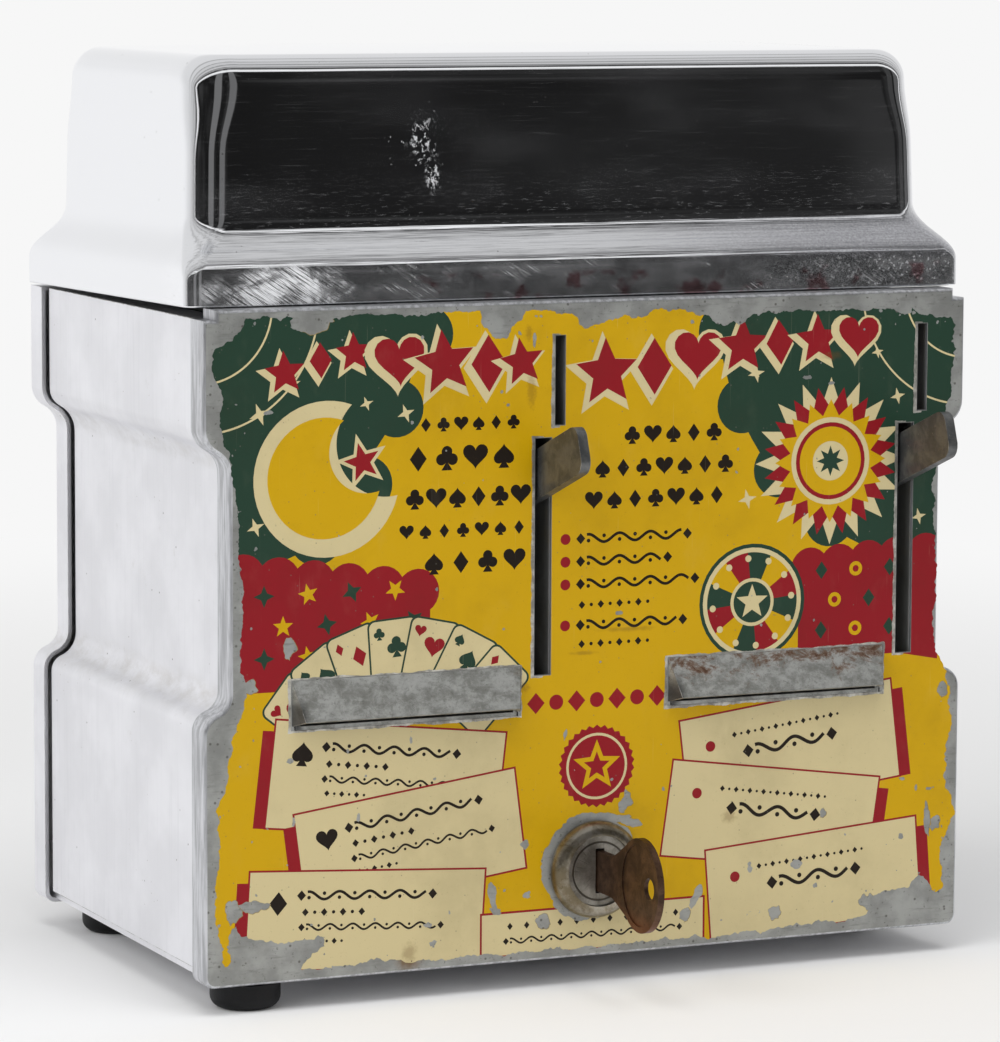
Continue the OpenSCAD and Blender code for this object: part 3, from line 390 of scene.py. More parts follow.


# Galvanised hood: fine mottling, pale rubs, rust that is thickest along the top, and painted shade on its slanted left
# end face
def hoodZinc(side):
    f, rust = Finish("hoodZinc" + side.title()), hoodRust[side]
    cloud, fleck = f.noise((5, 5, 3.4), 6, 0.72, 0.3), f.noise(0.75, 5, 0.75)
    f.coat(f.step(cloud, 0.36, 0.64), (134, 135, 130), (180, 181, 178))
    f.stain(f.step(fleck, 0.52, 0.7), 0.55, (100, 99, 92))
    f.stain(f.step(fleck, 0.42, 0.30), 0.35, (192, 192, 188))
    f.stain(f.patches((1.0, 1.0, 9), 0.58, 0.72, 4, 0.6), 0.35, (188, 187, 182))
    reach = f.plus(f.times(f.along("Z", 58.5, 68), rust["top"]), f.noise((8, 8, 5), 6, 0.78, 0.4))
    f.stain(f.step(reach, 0.64, 0.76), rust["brown"], rust["tone"])
    f.stain(f.step(reach, 0.73, 0.82), rust["core"], (84, 52, 34))
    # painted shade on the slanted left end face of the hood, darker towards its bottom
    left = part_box("card_hood_" + side)[0].x / mm
    f.stain(f.times(f.along("X", left + 3.6, left + 1.2), f.along("Z", 66.5, 61)), 0.8, (40, 39, 38))
    return f.surface(0.5, f.between(cloud, 0.56, 0.40), f.plus(cloud, f.times(fleck, 0.6)), 0.07)


# Lever steel: brown tarnish over grey steel, with fine draw marks
def leverSteel():
    f = Finish("leverSteel")
    cloud = f.noise(5, 5, 0.65, 0.4)
    f.coat(f.step(cloud, 0.35, 0.68), (82, 84, 85), (114, 115, 114))
    f.stain(f.patches(0.8, 0.58, 0.7, 4, 0.7), 0.45, (66, 60, 53))
    f.stain(f.dots(1.9, 0.14, 0.05), 0.5, (156, 152, 144))
    return f.surface(0.65, f.between(cloud, 0.5, 0.34), f.plus(f.noise((6, 6, 0.25)), cloud), 0.04)


lockShape = {"height": 20.5, "ringRadius": 6.7, "ringCore": 0.12, "ringReach": 0.30}


# Face of the plug: a dark ring near its edge and fine scratches that fan out from its middle
def plugFace():
    f = Finish("plugFace")
    across, up = f.axes["X"], f.less(f.axes["Z"], f.at("Z", lockShape["height"]))
    away, turn = f.distance(across, up), f.math("ARCTAN2", across, up)
    off = f.math("ABSOLUTE", f.less(away, lockShape["ringRadius"] * mm))
    ring = f.step(off, lockShape["ringReach"] * mm, lockShape["ringCore"] * mm)
    cloud = f.noise(5, 5, 0.65)
    f.coat(f.step(cloud, 0.35, 0.7), (120, 115, 106), (160, 156, 148))
    fan = f.add("ShaderNodeCombineXYZ", {0: f.times(turn, 14.0), 1: f.times(away, 260.0)})
    scratch = f.step(f.noiseAt(fan.outputs[0], 2.0), 0.58, 0.66)
    f.stain(scratch, 0.28, (92, 86, 76))
    f.stain(ring, 0.85, (58, 52, 44))
    return f.surface(0.85, f.between(cloud, 0.48, 0.34), f.less(1.0, f.most(ring, f.times(scratch, 0.4))), 0.08)


# Dark bronze of the key, redder and rubbed near the bottom of the bow
def keyBronze():
    f = Finish("keyBronze")
    cloud = f.noise(5, 5, 0.65, 0.4)
    f.coat(f.step(cloud, 0.36, 0.68), (66, 48, 36), (104, 78, 60))
    f.stain(f.along("Z", 16, 10.5), 0.7, (128, 76, 48))
    f.stain(f.patches(0.9, 0.56, 0.72, 4, 0.7), 0.6, (40, 30, 24))
    return f.surface(0.75, f.between(cloud, 0.5, 0.36), cloud, 0.05)


def footRubber():
    f = Finish("footRubber")
    dust = f.patches(2.4, 0.5, 0.8, 5, 0.7)
    f.coat(f.times(dust, 0.30), (15, 15, 17), (52, 50, 48))
    return f.surface(0.0, f.between(dust, 0.55, 0.75), f.noise(0.7), 0.05, specular=0.3)


def springWire():
    f = Finish("springWire")
    cloud = f.noise(1.5, 4)
    f.coat(cloud, (74, 74, 76), (124, 124, 126))
    return f.surface(0.9, f.between(cloud, 0.4, 0.25), f.noise(0.4, 2), 0.02)


# Edges of loose cards: thin level layers in slightly different creams
def cardEdges():
    f = Finish("cardEdges")
    layers = f.noise((60, 60, 0.55), 2, 0.5)
    f.coat(f.step(layers, 0.35, 0.65), (190, 176, 140), (228, 216, 184))
    f.stain(f.patches(9, 0.55, 0.8, 4), 0.35, (160, 138, 98))
    return f.surface(0.0, 0.85, layers, 0.25)


# Metals and paint in clouds of two tones, with marks over them. Cloud and relief are a noise's grain and settings,
# marks are a grain, the two ends of its cut and its settings, and roughness runs over the cloud.
cloudedLooks = {
    "foldedRim": {
        "cloud": ((1.3, 1.3, 16), 5, 0.65), "cut": (0.36, 0.64), "tones": ((170, 171, 174), (214, 215, 219)),
        "marks": ((0.8, 0.8, 3.5), 0.62, 0.72, 5, 0.75), "share": 0.5, "mark": (128, 127, 126),
        "metallic": 0.8, "rough": (0.46, 0.28), "relief": ((1, 1, 5), 4), "depth": 0.04,
    },
    "nickelBezel": {
        "cloud": (6, 5, 0.65, 0.5), "cut": (0.36, 0.66), "tones": ((118, 108, 88), (172, 166, 154)),
        "marks": (1.1, 0.56, 0.7, 4, 0.7), "share": 0.6, "mark": (88, 76, 56),
        "metallic": 0.9, "rough": (0.40, 0.22), "relief": (1.0, 4), "depth": 0.03,
    },
    "innerZinc": {
        "cloud": (16, 5, 0.6, 0.6), "cut": (0.35, 0.68), "tones": ((138, 138, 134), (166, 166, 164)),
        "marks": (7, 0.55, 0.75, 4), "share": 0.4, "mark": (150, 138, 104),
        "metallic": 0.7, "rough": (0.48, 0.32), "relief": (0.8, 3), "depth": 0.03,
    },
    "brightZinc": {
        "cloud": (3, 4), "cut": (0.35, 0.7), "tones": ((160, 160, 158), (202, 202, 200)),
        "marks": None, "metallic": 0.9, "rough": (0.36, 0.22), "relief": (0.5, 2), "depth": 0.02,
    },
    "weightPaint": {
        "cloud": (8, 5, 0.6), "cut": (0.4, 0.7), "tones": ((64, 66, 70), (84, 86, 88)),
        "marks": (1.8, 0.66, 0.7, 4, 0.7), "share": 0.8, "mark": (124, 118, 110),
        "metallic": 0.3, "rough": (0.6, 0.42), "relief": (1.0, 3), "depth": 0.06,
    },
}
cloudedLooks["nickelInner"] = {**cloudedLooks["nickelBezel"], "rough": (0.52, 0.34)}


def clouded(name):
    f, look = Finish(name), cloudedLooks[name]
    cloud = f.noise(*look["cloud"])
    f.coat(f.step(cloud, *look["cut"]), *look["tones"])
    if look["marks"]:
        f.stain(f.patches(*look["marks"]), look["share"], look["mark"])
    return f.surface(look["metallic"], f.between(cloud, *look["rough"]), f.noise(*look["relief"]), look["depth"])


zincBare, sheetSatin, rimFolded = bareZinc(), satinSheet(), clouded("foldedRim")
steelInner, steelBright, wireSpring = clouded("innerZinc"), clouded("brightZinc"), springWire()
nickelBezel, nickelInner = clouded("nickelBezel"), clouded("nickelInner")
edgePale = rubbedEdge("edgePale", (226, 226, 228), (170, 169, 166))
edgeHood = rubbedEdge("edgeHood", (178, 178, 176), (110, 108, 104))
edgeLever = rubbedEdge("edgeLever", (150, 148, 143), (88, 84, 78))
edgeKey = rubbedEdge("edgeKey", (132, 114, 96), (74, 58, 46))


# A copy of a CAD node's mesh with its doubles merged and its flat faces made whole
def mergedMesh(node):
    source = frame["nodes"][node].data
    points = np.empty(len(source.vertices) * 3, np.float32)
    source.vertices.foreach_get("co", points)
    corners = np.empty(len(source.loops), np.int32)
    source.loops.foreach_get("vertex_index", corners)
    mesh = bpy.data.meshes.new(node + "_finished")
    mesh.from_pydata(points.reshape(-1, 3).tolist(), [], corners.reshape(-1, 3).tolist())
    cage = bmesh.new()
    cage.from_mesh(mesh)
    bmesh.ops.remove_doubles(cage, verts=cage.verts, dist=0.003 * mm)
    bmesh.ops.dissolve_limit(cage, angle_limit=math.radians(0.8), verts=cage.verts, edges=cage.edges)
    return mesh, cage


def seatOn(piece, body, *nodes):
    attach(piece, body)
    if nodes:
        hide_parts(*nodes)
    return piece


# Rounds the edges that bend by more than turn; the width is in mm
def roundEdges(piece, name, width, steps, turn=32):
    edge = piece.modifiers.new(name, "BEVEL")
    edge.width, edge.segments = width * mm, steps
    edge.limit_method, edge.angle_limit = "ANGLE", math.radians(turn)
    edge.harden_normals = True
    return edge


# Puts the finished piece on its body in place of the node; the faces of its rounded edges take the last material
def finished(node, materials, bevel=0.0, steps=2, sharp=35, prepare=None):
    mesh, cage = mergedMesh(node)
    if prepare is not None:
        prepare(cage)
    cage.to_mesh(mesh)
    cage.free()
    for material in materials:
        mesh.materials.append(material)
    piece = linked(node + "_finished", mesh)
    mesh.shade_smooth()
    mesh.set_sharp_from_angle(angle=math.radians(sharp))
    if bevel:
        edge = roundEdges(piece, "bevel", bevel, steps)
        edge.use_clamp_overlap = True
        edge.material = len(materials) - 1
    return seatOn(piece, frame["nodes"][node]["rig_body"], node)


print("case: front plate, side panels and back with folded edges")
foldShape = {
    "radius": 1.3, "steps": 4, "sideFrom": 86.5, "lowTo": 4.0, "highFrom": 147.5,
    "corner": 60,  # least bend of an edge that is folded, in degrees
    "flat": 0.95,  # how squarely a face looks to the front where it stays bare zinc
}


# The fold round the front plate: every edge of its face on the outer outline is rounded
def foldRim(cage):
    def onRim(point):
        side, height = abs(point.x) / mm, (point.z - caseZ) / mm
        outer = side > foldShape["sideFrom"] or height < foldShape["lowTo"] or height > foldShape["highFrom"]
        return outer and abs(point.y - plateY) < 0.001 * mm

    def isCorner(edge):
        return len(edge.link_faces) == 2 and edge.calc_face_angle(0.0) > math.radians(foldShape["corner"])

    rim = [e for e in cage.edges if all(onRim(v.co) for v in e.verts) and isCorner(e)]
    bmesh.ops.bevel(
        cage, geom=rim, offset=foldShape["radius"] * mm, segments=foldShape["steps"],
        profile=0.5, affect="EDGES", clamp_overlap=True,
    )
    for face in cage.faces:
        face.material_index = 0 if face.normal.y < -foldShape["flat"] else 1


finished("front_pan", [zincBare, rimFolded], prepare=foldRim, sharp=40)
for side in ("side_panel_left", "side_panel_right"):
    finished(side, [sheetSatin, edgePale], bevel=0.25)
finished("back_pan", [sheetSatin, edgePale], bevel=0.9, steps=3)

print("paint: the printed front")
inks = {
    "yellow": (200, 158, 0), "green": (36, 62, 48), "red": (140, 20, 30), "cream": (205, 190, 145),
    "black": (30, 22, 15), "grime": (150, 128, 78), "burrHighlight": (214, 211, 202),
}
printLayers = []  # outlines in mm on the plate, x across and z up, each with its ink, or None for bare metal


def lay(ink, *outlines):
    for outline in outlines:
        points = np.asarray(outline, float)
        ahead = np.roll(points, -1, 0)
        area = (points[:, 0] * ahead[:, 1] - ahead[:, 0] * points[:, 1]).sum()
        printLayers.append((points if area > 0 else points[::-1], ink))


# Outline moved to its place: scaled, turned by degrees and set at the centre
def placed(points, centre, turn=0.0, scale=1.0):
    a = math.radians(turn)
    spin = np.array([[math.cos(a), math.sin(a)], [-math.sin(a), math.cos(a)]])
    return np.asarray(points) * scale @ spin + centre


# The point at an offset from a centre, in a turned frame
def pointAt(centre, turn, along, up=0.0):
    return placed([(along, up)], centre, turn)[0]


# Points on a circle about the centre, at the angles in radians; the radius may change from point to point
def circle(centre, radius, angles, tall=1.0):
    return np.stack([centre[0] + radius * np.cos(angles), centre[1] + radius * tall * np.sin(angles)], 1)


def disc(centre, radius, count=36, tall=1.0):
    return circle(centre, radius, np.linspace(0, 2 * np.pi, count, endpoint=False), tall)


def arcLine(centre, radius, start, stop, count=24):
    return circle(centre, radius, np.radians(np.linspace(start, stop, count)))


# Part of a disc between two angles, down to its centre
def sector(centre, radius, start, stop, count):
    return np.vstack([[centre], arcLine(centre, radius, start, stop, count)])


# Points at the outer and the inner radius by turns
def star(centre, radius, points=5, inner=0.42, turn=0.0):
    k = np.arange(2 * points)
    return circle(centre, np.where(k % 2, radius * inner, radius), np.pi / 2 + np.radians(turn) + k * np.pi / points)


# Moon: an outer arc, and back along the arc of a smaller circle set off to one side
def crescent(centre, radius, turn=0.0, thin=0.55):
    outer = arcLine((0, 0), 1.0, 42, 318, 40)
    tip = outer[0]
    off = tip[0] + thin * 0.35
    start = math.atan2(tip[1], tip[0] - off)
    b = np.linspace(2 * np.pi - start, start, 40)
    inner = circle((off, 0), math.hypot(tip[0] - off, tip[1]), b)
    return placed(np.vstack([outer, inner[1:-1]]), centre, turn, radius)


# Heart: x = 16 sin^3 t, y = 13 cos t - 5 cos 2t - 2 cos 3t - cos 4t
def heart(centre, height, turn=0.0):
    t = np.linspace(0, 2 * np.pi, 30, endpoint=False)
    x = 16 * np.sin(t) ** 3
    y = 13 * np.cos(t) - 5 * np.cos(2 * t) - 2 * np.cos(3 * t) - np.cos(4 * t)
    return placed(np.stack([x, y + 2.5], 1) / 29, centre, turn, height)


def lozenge(centre, height, turn=0.0, wide=0.74):
    return placed([(0, -0.5), (0.5 * wide, 0), (0, 0.5), (-0.5 * wide, 0)], centre, turn, height)


def stem(centre, height, turn=0.0):
    outline = [(-0.24, -0.5), (0.24, -0.5), (0.05, -0.2), (0.05, 0.1), (-0.05, 0.1), (-0.05, -0.2)]
    return placed(outline, centre, turn, height)


# A suit sign's outlines
def suitSign(kind, centre, height, turn=0.0, wide=0.74):
    if kind == "heart":
        return [heart(centre, height, turn)]
    if kind == "lozenge":
        return [lozenge(centre, height, turn, wide)]
    if kind == "spade":
        body = [placed(heart((0, 0), 0.82, 180), (0, 0.08))]
    else:
        body = [disc(c, 0.235, 20) for c in ((0, 0.25), (-0.24, -0.06), (0.24, -0.06), (0, 0.03))]
    return [placed(part, centre, turn, height) for part in body] + [stem(centre, height, turn)]


# Oblong with square or rounded corners
def oblong(centre, wide, tall, turn=0.0, corner=0.0):
    x, y = wide / 2 - corner, tall / 2 - corner
    arc = arcLine((0, 0), corner, 0, 90, 6) if corner else np.zeros((1, 2))
    quarters = [placed(arc, c, q) for c, q in (((x, y), 0), ((-x, y), 90), ((-x, -y), 180), ((x, -y), 270))]
    return placed(np.vstack(quarters), centre, turn)


# Band of even width along a line of points
def band(points, width):
    along = np.gradient(points, axis=0)
    side = np.stack([-along[:, 1], along[:, 0]], 1) / np.linalg.norm(along, axis=1)[:, None] * width / 2
    return np.vstack([points - side, (points + side)[::-1]])


# Torn edge: the outline is walked in even steps, and each point is pushed sideways by jagged noise in four sizes
def ragged(outline, size, seed, stride=0.28):
    closed = np.vstack([outline, outline[:1]])
    run = np.concatenate([[0], np.cumsum(np.linalg.norm(np.diff(closed, axis=0), axis=1))])
    count = max(int(run[-1] / stride), 14)
    t = np.linspace(0, run[-1], count, endpoint=False)
    p = np.stack([np.interp(t, run, closed[:, k]) for k in (0, 1)], 1)
    along = np.roll(p, -1, 0) - np.roll(p, 1, 0)
    side = np.stack([along[:, 1], -along[:, 0]], 1) / (np.linalg.norm(along, axis=1)[:, None] + 1e-9)
    rng = np.random.default_rng(seed)
    push = np.zeros(count)
    for spacing, share in ((4.5, 1.0), (1.9, 0.8), (0.8, 0.55), (0.35, 0.3)):
        knots = max(int(run[-1] / spacing), 4)
        values = rng.uniform(-1, 1, knots)
        push += share * np.interp(t / run[-1] * knots, np.arange(knots + 1), np.append(values, values[0]))
    return p + side * (push * size)[:, None]


flakeShape = {"torn": 0.34, "lobes": 7, "swell": 0.30, "stride": 0.09, "leastStride": 0.12, "lobeSeed": 5000}


# A flake of missing paint: a torn ellipse with uneven lobes of four points each
def flake(centre, wide, tall, turn, seed):
    s = flakeShape
    swell = np.random.default_rng(seed + s["lobeSeed"]).uniform(-1, 1, s["lobes"]) * s["swell"]
    lobes = 1 + np.repeat(swell, 4) * np.tile([0.3, 1, 1, 0.3], s["lobes"])
    shape = placed(disc((0, 0), wide, len(lobes), tall / wide) * lobes[:, None], centre, turn)
    return ragged(shape, s["torn"] * min(wide, tall), seed, max(s["leastStride"], s["stride"] * (wide + tall)))


# Where the paint still reaches, read clockwise from the top left
paintEdge = [
    (-85, 149.0), (-74, 149.2), (-75, 147.0), (-70, 145.8), (-66, 147.0), (-64, 149.0), (-52, 149.3), (-47, 148.6),
    (-35, 149.4), (-29, 149.2), (-28, 146.5), (-26, 145.0), (-25, 143.4), (-22, 143.3), (-21, 145.5), (-19, 147.0),
    (-18, 149.2), (-11.5, 149.2), (-10, 147.8), (-5, 147.0), (-3, 145.2), (1, 145.5), (8, 147.2), (15, 148.2),
    (22, 148.4), (26, 146.6), (30, 145.0), (36, 144.6), (41, 146.4), (47, 147.4), (60, 146.8), (70, 147.3),
    (76, 146.8), (77, 145.6), (80.5, 146.0), (81, 148.0), (83, 145.5), (88, 145.0), (92, 144.2), (92.6, 138),
    (91.6, 128), (90.6, 122), (88.6, 118), (87.6, 110), (87.3, 98), (88.2, 90), (88.4, 80), (87.4, 74),
    (88.0, 68), (90.0, 64), (91.8, 60), (92.8, 55), (92.6, 47), (91.6, 41), (91.6, 35), (93.6, 31),
    (94.2, 27), (92.8, 22), (90.6, 19), (91.2, 14), (91.2, 9.5), (89.6, 8.6), (87.4, 11), (85, 14),
    (83.6, 12.6), (82, 10.2), (76, 9.2), (72.4, 8.2), (70.8, 4.6), (66, 3.2), (56, 3.0), (46, 2.5),
    (32, 2.2), (16, 2.5), (0, 2.3), (-14, 2.5), (-26, 2.1), (-34, 2.8), (-44, 2.6), (-52, 3.3),
    (-57, 3.5), (-64, 2.3), (-72, 2.9), (-70.5, 4.8), (-66.2, 7.6), (-66.2, 10.2), (-70, 10.0), (-76, 9.3),
    (-82, 9.8), (-86.6, 11.6), (-88.6, 13.4), (-89.2, 9.0), (-88.8, 5.0), (-91.0, 4.4), (-91.6, 8.6), (-92.6, 15),
    (-92.6, 23), (-91.6, 29), (-91.4, 35), (-92.2, 39), (-90.6, 44), (-89.4, 50), (-87.8, 56), (-86.4, 61),
    (-85.0, 65), (-86.2, 71), (-86.2, 82), (-86.5, 96), (-87.2, 106), (-88.4, 117), (-90.2, 122), (-91.2, 132),
    (-93.0, 138), (-92.6, 142), (-89.6, 144.4), (-86.4, 146.6),
]
lay("yellow", ragged(paintEdge, 0.52, 3, 0.24))


def discs(centre, *rings):
    for ink, radius in rings:
        lay(ink, disc(centre, radius))


def fourPoints(turn, *marks):
    for across, height, radius in marks:
        lay("cream", star((across, height), radius, 4, 0.34, turn))


# Night sky in the upper corners, with thin arcs, where the sides meet the yellow in scallops
skies = {
    "left": {
        "corner": (-96, 152), "sectors": ((53, -90, 0, 30), (60, -90, -52, 20)), "arcs": (-84, -6),
        "scallops": ((-78, 58.5), (-62, 58.5), (-46, 56.5), (-27, 52.5), (-8, 54.5)),
    },
    "right": {
        "corner": (96, 152), "sectors": ((66, 180, 270, 30),), "arcs": (186, 262),
        "scallops": [(turn, 64.5) for turn in (188, 204, 220, 236, 252, 266)],
    },
}
for sky in skies.values():
    for shape in sky["sectors"]:
        lay("green", sector(sky["corner"], *shape))
    for turn, off in sky["scallops"]:
        lay("green", disc(pointAt(sky["corner"], turn, off), 6.5, 30))
lay("green", [(79, 70), (89.5, 66), (89.5, 110), (79, 110)])
for sky in skies.values():
    for radius in (17, 28):
        lay("cream", band(arcLine(sky["corner"], radius, *sky["arcs"], 40), 0.45))

# Red draped panels behind the hoods, edged in scallops, with a sprinkled pattern
lay("red", [(-90, 66), (-41, 66), (-41, 86), (-90, 92)])
lay("red", *[disc((-86 + 8.4 * k, 92 - 1.05 * k), 5.2, 24) for k in range(6)])
lay("red", [(52, 66), (78.5, 66), (89, 64), (89, 88), (52, 86)])
lay("red", *[disc((55 + 7.6 * k, 87 + 0.5 * k), 5.0, 24) for k in range(5)])
for k, j in np.ndindex(4, 3):
    odd = (k + j) % 2
    spot = (-81 + 10.5 * k + 4.5 * (j % 2), 73.5 + 7 * j)
    lay("yellow" if odd else "green", star(spot, 2.5, 5 if odd else 4, 0.42, 12 * k))
for k, j in np.ndindex(3, 3):
    spot = (58 + 9 * k + 3.5 * (j % 2), 72.5 + 7 * j)
    if (k + j) % 2:
        lay("yellow", disc(spot, 1.7, 20))
        lay("red", disc(spot, 0.8, 16))
    else:
        lay("green", lozenge(spot, 4.2))

# Great moon on the left, great sun on the right, with small stars round them
sunCentre = (60, 112)
lay("cream", crescent((-66, 113), 17.5, 28))
lay("yellow", crescent((-66.6, 113.2), 13.6, 28, 0.35))
for ink, radius in (("cream", 6.6), ("red", 4.5)):
    lay(ink, star((-57.5, 116.5), radius, turn=14))
fourPoints(20, (-82, 128, 2.6), (-47, 127, 2.2), (-74, 134.5, 1.8), (-83, 103, 2.2), (-56.5, 129.5, 1.7))
for ink, *shape in (("cream", 19.5, 16, 0.66), ("red", 17.4, 16, 0.70, 11.25), ("yellow", 14.4, 16, 0.74)):
    lay(ink, star(sunCentre, *shape))
discs(sunCentre, ("cream", 10.2), ("red", 9.0), ("yellow", 8.0), ("cream", 4.6))
lay("green", star(sunCentre, 3.6, 8, 0.5))
fourPoints(12, (77.5, 126.5, 2.0), (40.5, 133, 2.2), (83.5, 98, 2.0), (38.5, 104, 2.4), (72, 137, 1.6))

# Garland across the top: red stars, lozenges and hearts, each with a cream edge thrown down to the left
garland = [
    ("star", -76, 137, 5.0), ("lozenge", -67.5, 139.5, 8.0), ("star", -59.5, 141.0, 4.6), ("heart", -48.5, 138.5, 11.0),
    ("star", -37.5, 138.0, 7.6), ("lozenge", -26.8, 137.5, 13.0), ("star", -18.6, 137.6, 5.6),
    ("star", 2.5, 134.5, 8.0), ("lozenge", 14.5, 135.5, 13.0), ("heart", 25.5, 137.5, 11.0),
    ("star", 37, 139.5, 6.6), ("lozenge", 46.5, 140.0, 10.5), ("star", 56.5, 140.3, 6.0), ("heart", 67, 140.5, 9.5),
]
for kind, across, height, size in garland:
    for ink, grow, drop in (("cream", 1.27, 0.75), ("red", 1.0, 0.0)):
        spot = (across - drop, height - drop)
        if kind == "star":
            lay(ink, star(spot, size * grow, 5, 0.46, across % 9))
        elif kind == "lozenge":
            lay(ink, lozenge(spot, size * grow, across % 7, 0.66))
        else:
            lay(ink, heart(spot, size * grow, across % 6 - 3))


# A row of black suit signs, spread evenly about its middle
def signRow(middle, height, count, pitch, size, shift=0):
    for k in range(count):
        kind = ("spade", "lozenge", "club", "heart")[(k + shift) % 4]
        lay("black", *suitSign(kind, (middle + (k - (count - 1) / 2) * pitch, height), size))


# Sizes in rows of beads and in scrolls, as shares of their thickness
rowShape = {
    "pitch": 1.9, "bead": 0.34, "lozenge": 1.5, "wave": 4.6, "swing": 0.55, "ribbon": 0.40, "dot": 0.27, "dotOff": 0.30,
    "end": 0.9, "stride": 0.22,
}


# A line of beads from its left end: lozenges and dots by turns
def beadLine(start, length, thick, turn=0.0):
    s = {key: share * thick for key, share in rowShape.items()}
    for k in range(int(length / s["pitch"])):
        middle = pointAt(start, turn, s["pitch"] * (k + 0.5))
        lay("black", disc(middle, s["bead"], 12) if k % 2 else lozenge(middle, s["lozenge"], turn, 0.9))


# A scroll from its left end: a ribbon along a sine wave, with a dot in each hollow and a lozenge at both ends
def scrollLine(start, length, thick, turn=0.0):
    s = {key: share * thick for key, share in rowShape.items()}
    x = np.arange(s["end"], length - s["end"], s["stride"])
    y = s["swing"] * np.sin(2 * np.pi * x / s["wave"])
    lay("black", placed(band(np.stack([x, y], 1), s["ribbon"]), start, turn))
    for k in range(int((length - thick) / (s["wave"] / 2))):
        spot = pointAt(start, turn, (k + 0.5) * s["wave"] / 2, s["dotOff"] if k % 2 else -s["dotOff"])
        lay("black", disc(spot, s["dot"], 12))
    for x in (0, length):
        lay("black", lozenge(pointAt(start, turn, x), s["lozenge"], turn, 0.9))


# Middle, height, count, pitch, size and the sign that each row starts with
for row in (
    (-31.4, 124.2, 6, 4.3, 3.2, 1), (-33.5, 116.6, 4, 7.0, 5.6, 1), (-31.8, 107.6, 6, 5.2, 4.6, 2),
    (-33.0, 100.2, 7, 4.6, 3.2, 3), (-30.2, 92.9, 4, 6.6, 5.0, 0),
    (19.4, 120, 5, 5.2, 4.1, 2), (17.18, 112.6, 7, 5.2, 4.1, 0), (15.02, 105.4, 7, 5.2, 4.1, 3),
):
    signRow(*row)
for height, length, beads in (
    (96.8, 27, False), (91.6, 22, False), (86.4, 29, False), (81.6, 20, True), (77.0, 26, False), (72.6, 20, True),
):
    if beads:
        beadLine((-4.6, height), length, 1.25)
    else:
        lay("red", disc((-7.6, height), 1.25, 20))
        scrollLine((-3.8, height), length, 1.7)

# Playing cards spread in front of the left hood, and a wheel of sectors above the right one
fanPivot, wheelCentre = (-47.5, 42), (40, 80)
fanSigns = [
    ("red", "heart", 2.6, 4.6), ("green", "spade", 2.8, 4.8), ("red", "lozenge", 2.8, 4.8), ("green", "club", 2.8, 4.8),
]
for k, turn in enumerate((52, 36, 20, 4, -12, -28, -44)):
    middle = pointAt(fanPivot, turn, 0, 29.5)
    lay("green", oblong(middle, 12.4, 19.4, turn, 1.8))
    lay("cream", oblong(middle, 11.5, 18.5, turn, 1.5))
    ink, kind, small, large = fanSigns[k % 4]
    for spot, size in (((-3.4, 6.4), small), ((0.6, 3.2), large)):
        lay(ink, *suitSign(kind, pointAt(middle, turn, *spot), size, turn, 0.7))
discs(wheelCentre, ("green", 13.6), ("cream", 12.7))
for k in range(12):
    lay(("red", "yellow", "green")[k % 3], sector(wheelCentre, 11.6, 30 * k + 6, 30 * k + 36, 8))
discs(wheelCentre, ("cream", 5.6), ("green", 4.8))
lay("cream", star(wheelCentre, 4.2))
lay("cream", *[disc(pointAt(wheelCentre, 30 * k + 6, 10.2), 0.8, 12) for k in range(12)])

# Row of red signs and a coin roundel over the lock
roundel = (0.6, 44.2)
for k in range(7):
    spot = (0.5 + 5.1 * (k - 3), 59.6)
    lay("red", disc(spot, 1.75, 24) if k % 2 else lozenge(spot, 4.9, wide=0.9))
lay("red", star(roundel, 9.6, 30, 0.93))
discs(roundel, ("cream", 7.7), ("red", 7.1))
lay("yellow", star(roundel, 6.2, inner=0.44))
lay("red", star(roundel, 3.4, inner=0.44))


# Cards: the red strip's place and how much lower it is, the width of both edges, and the sign's place and sizes
cardShape = {"stripAcross": 2.6, "stripDown": 1.4, "stripLess": 3, "edges": 0.9, "signAcross": 7.5, "signDown": 7.6}
signSizes = {"heart": 4.8, "lozenge": 5.4, "spade": 5.6, "dot": 2.5}


# Cream fortune card: red shadow strip, red edge, a sign at its left and rows, each with its place from the
# card's upper left corner, its length and its thickness
def fortuneCard(centre, wide, tall, turn, side, sign, rows):
    s = cardShape
    strip = pointAt(centre, turn, s["stripAcross"] * side, -s["stripDown"])
    lay("red", oblong(strip, wide, tall - s["stripLess"], turn), oblong(centre, wide, tall, turn))
    lay("cream", oblong(centre, wide - s["edges"], tall - s["edges"], turn))
    mark = pointAt(centre, turn, s["signAcross"] - wide / 2, tall / 2 - s["signDown"])
    if sign == "dot":
        lay("red", disc(mark, signSizes[sign] / 2, 20))
    else:
        lay("black", *suitSign(sign, mark, signSizes[sign], turn, 0.8))
    for draw, along, down, length, thick in rows:
        draw(pointAt(centre, turn, along - wide / 2, tall / 2 - down), length, thick, turn)


longRows = [
    (scrollLine, 13, 5.8, 32, 1.6), (beadLine, 13, 9.6, 18, 1.2), (scrollLine, 13.4, 13.0, 34, 1.2),
    (beadLine, 13.4, 16.2, 12, 0.95),
]
shortRows = [(beadLine, 13, 6.0, 30, 0.95), (scrollLine, 17, 10.4, 22, 2.1)]
fortuneCard((-51.5, 44.5), 57, 25, -6.5, -1, "spade", longRows)
fortuneCard((-45.5, 30.0), 55, 24, 7.5, -1, "heart", longRows)
fortuneCard((-56.5, 13.0), 58, 23, -3.5, -1, "lozenge", longRows)
fortuneCard((50.5, 45.0), 56, 24, 7.0, 1, "dot", shortRows)
fortuneCard((45.5, 29.5), 55, 23, -8.0, 1, "dot", shortRows)
fortuneCard((57.0, 13.5), 56, 23, 4.5, 1, "dot", shortRows)
lay("red", oblong((0, 6.8), 57, 10.6))
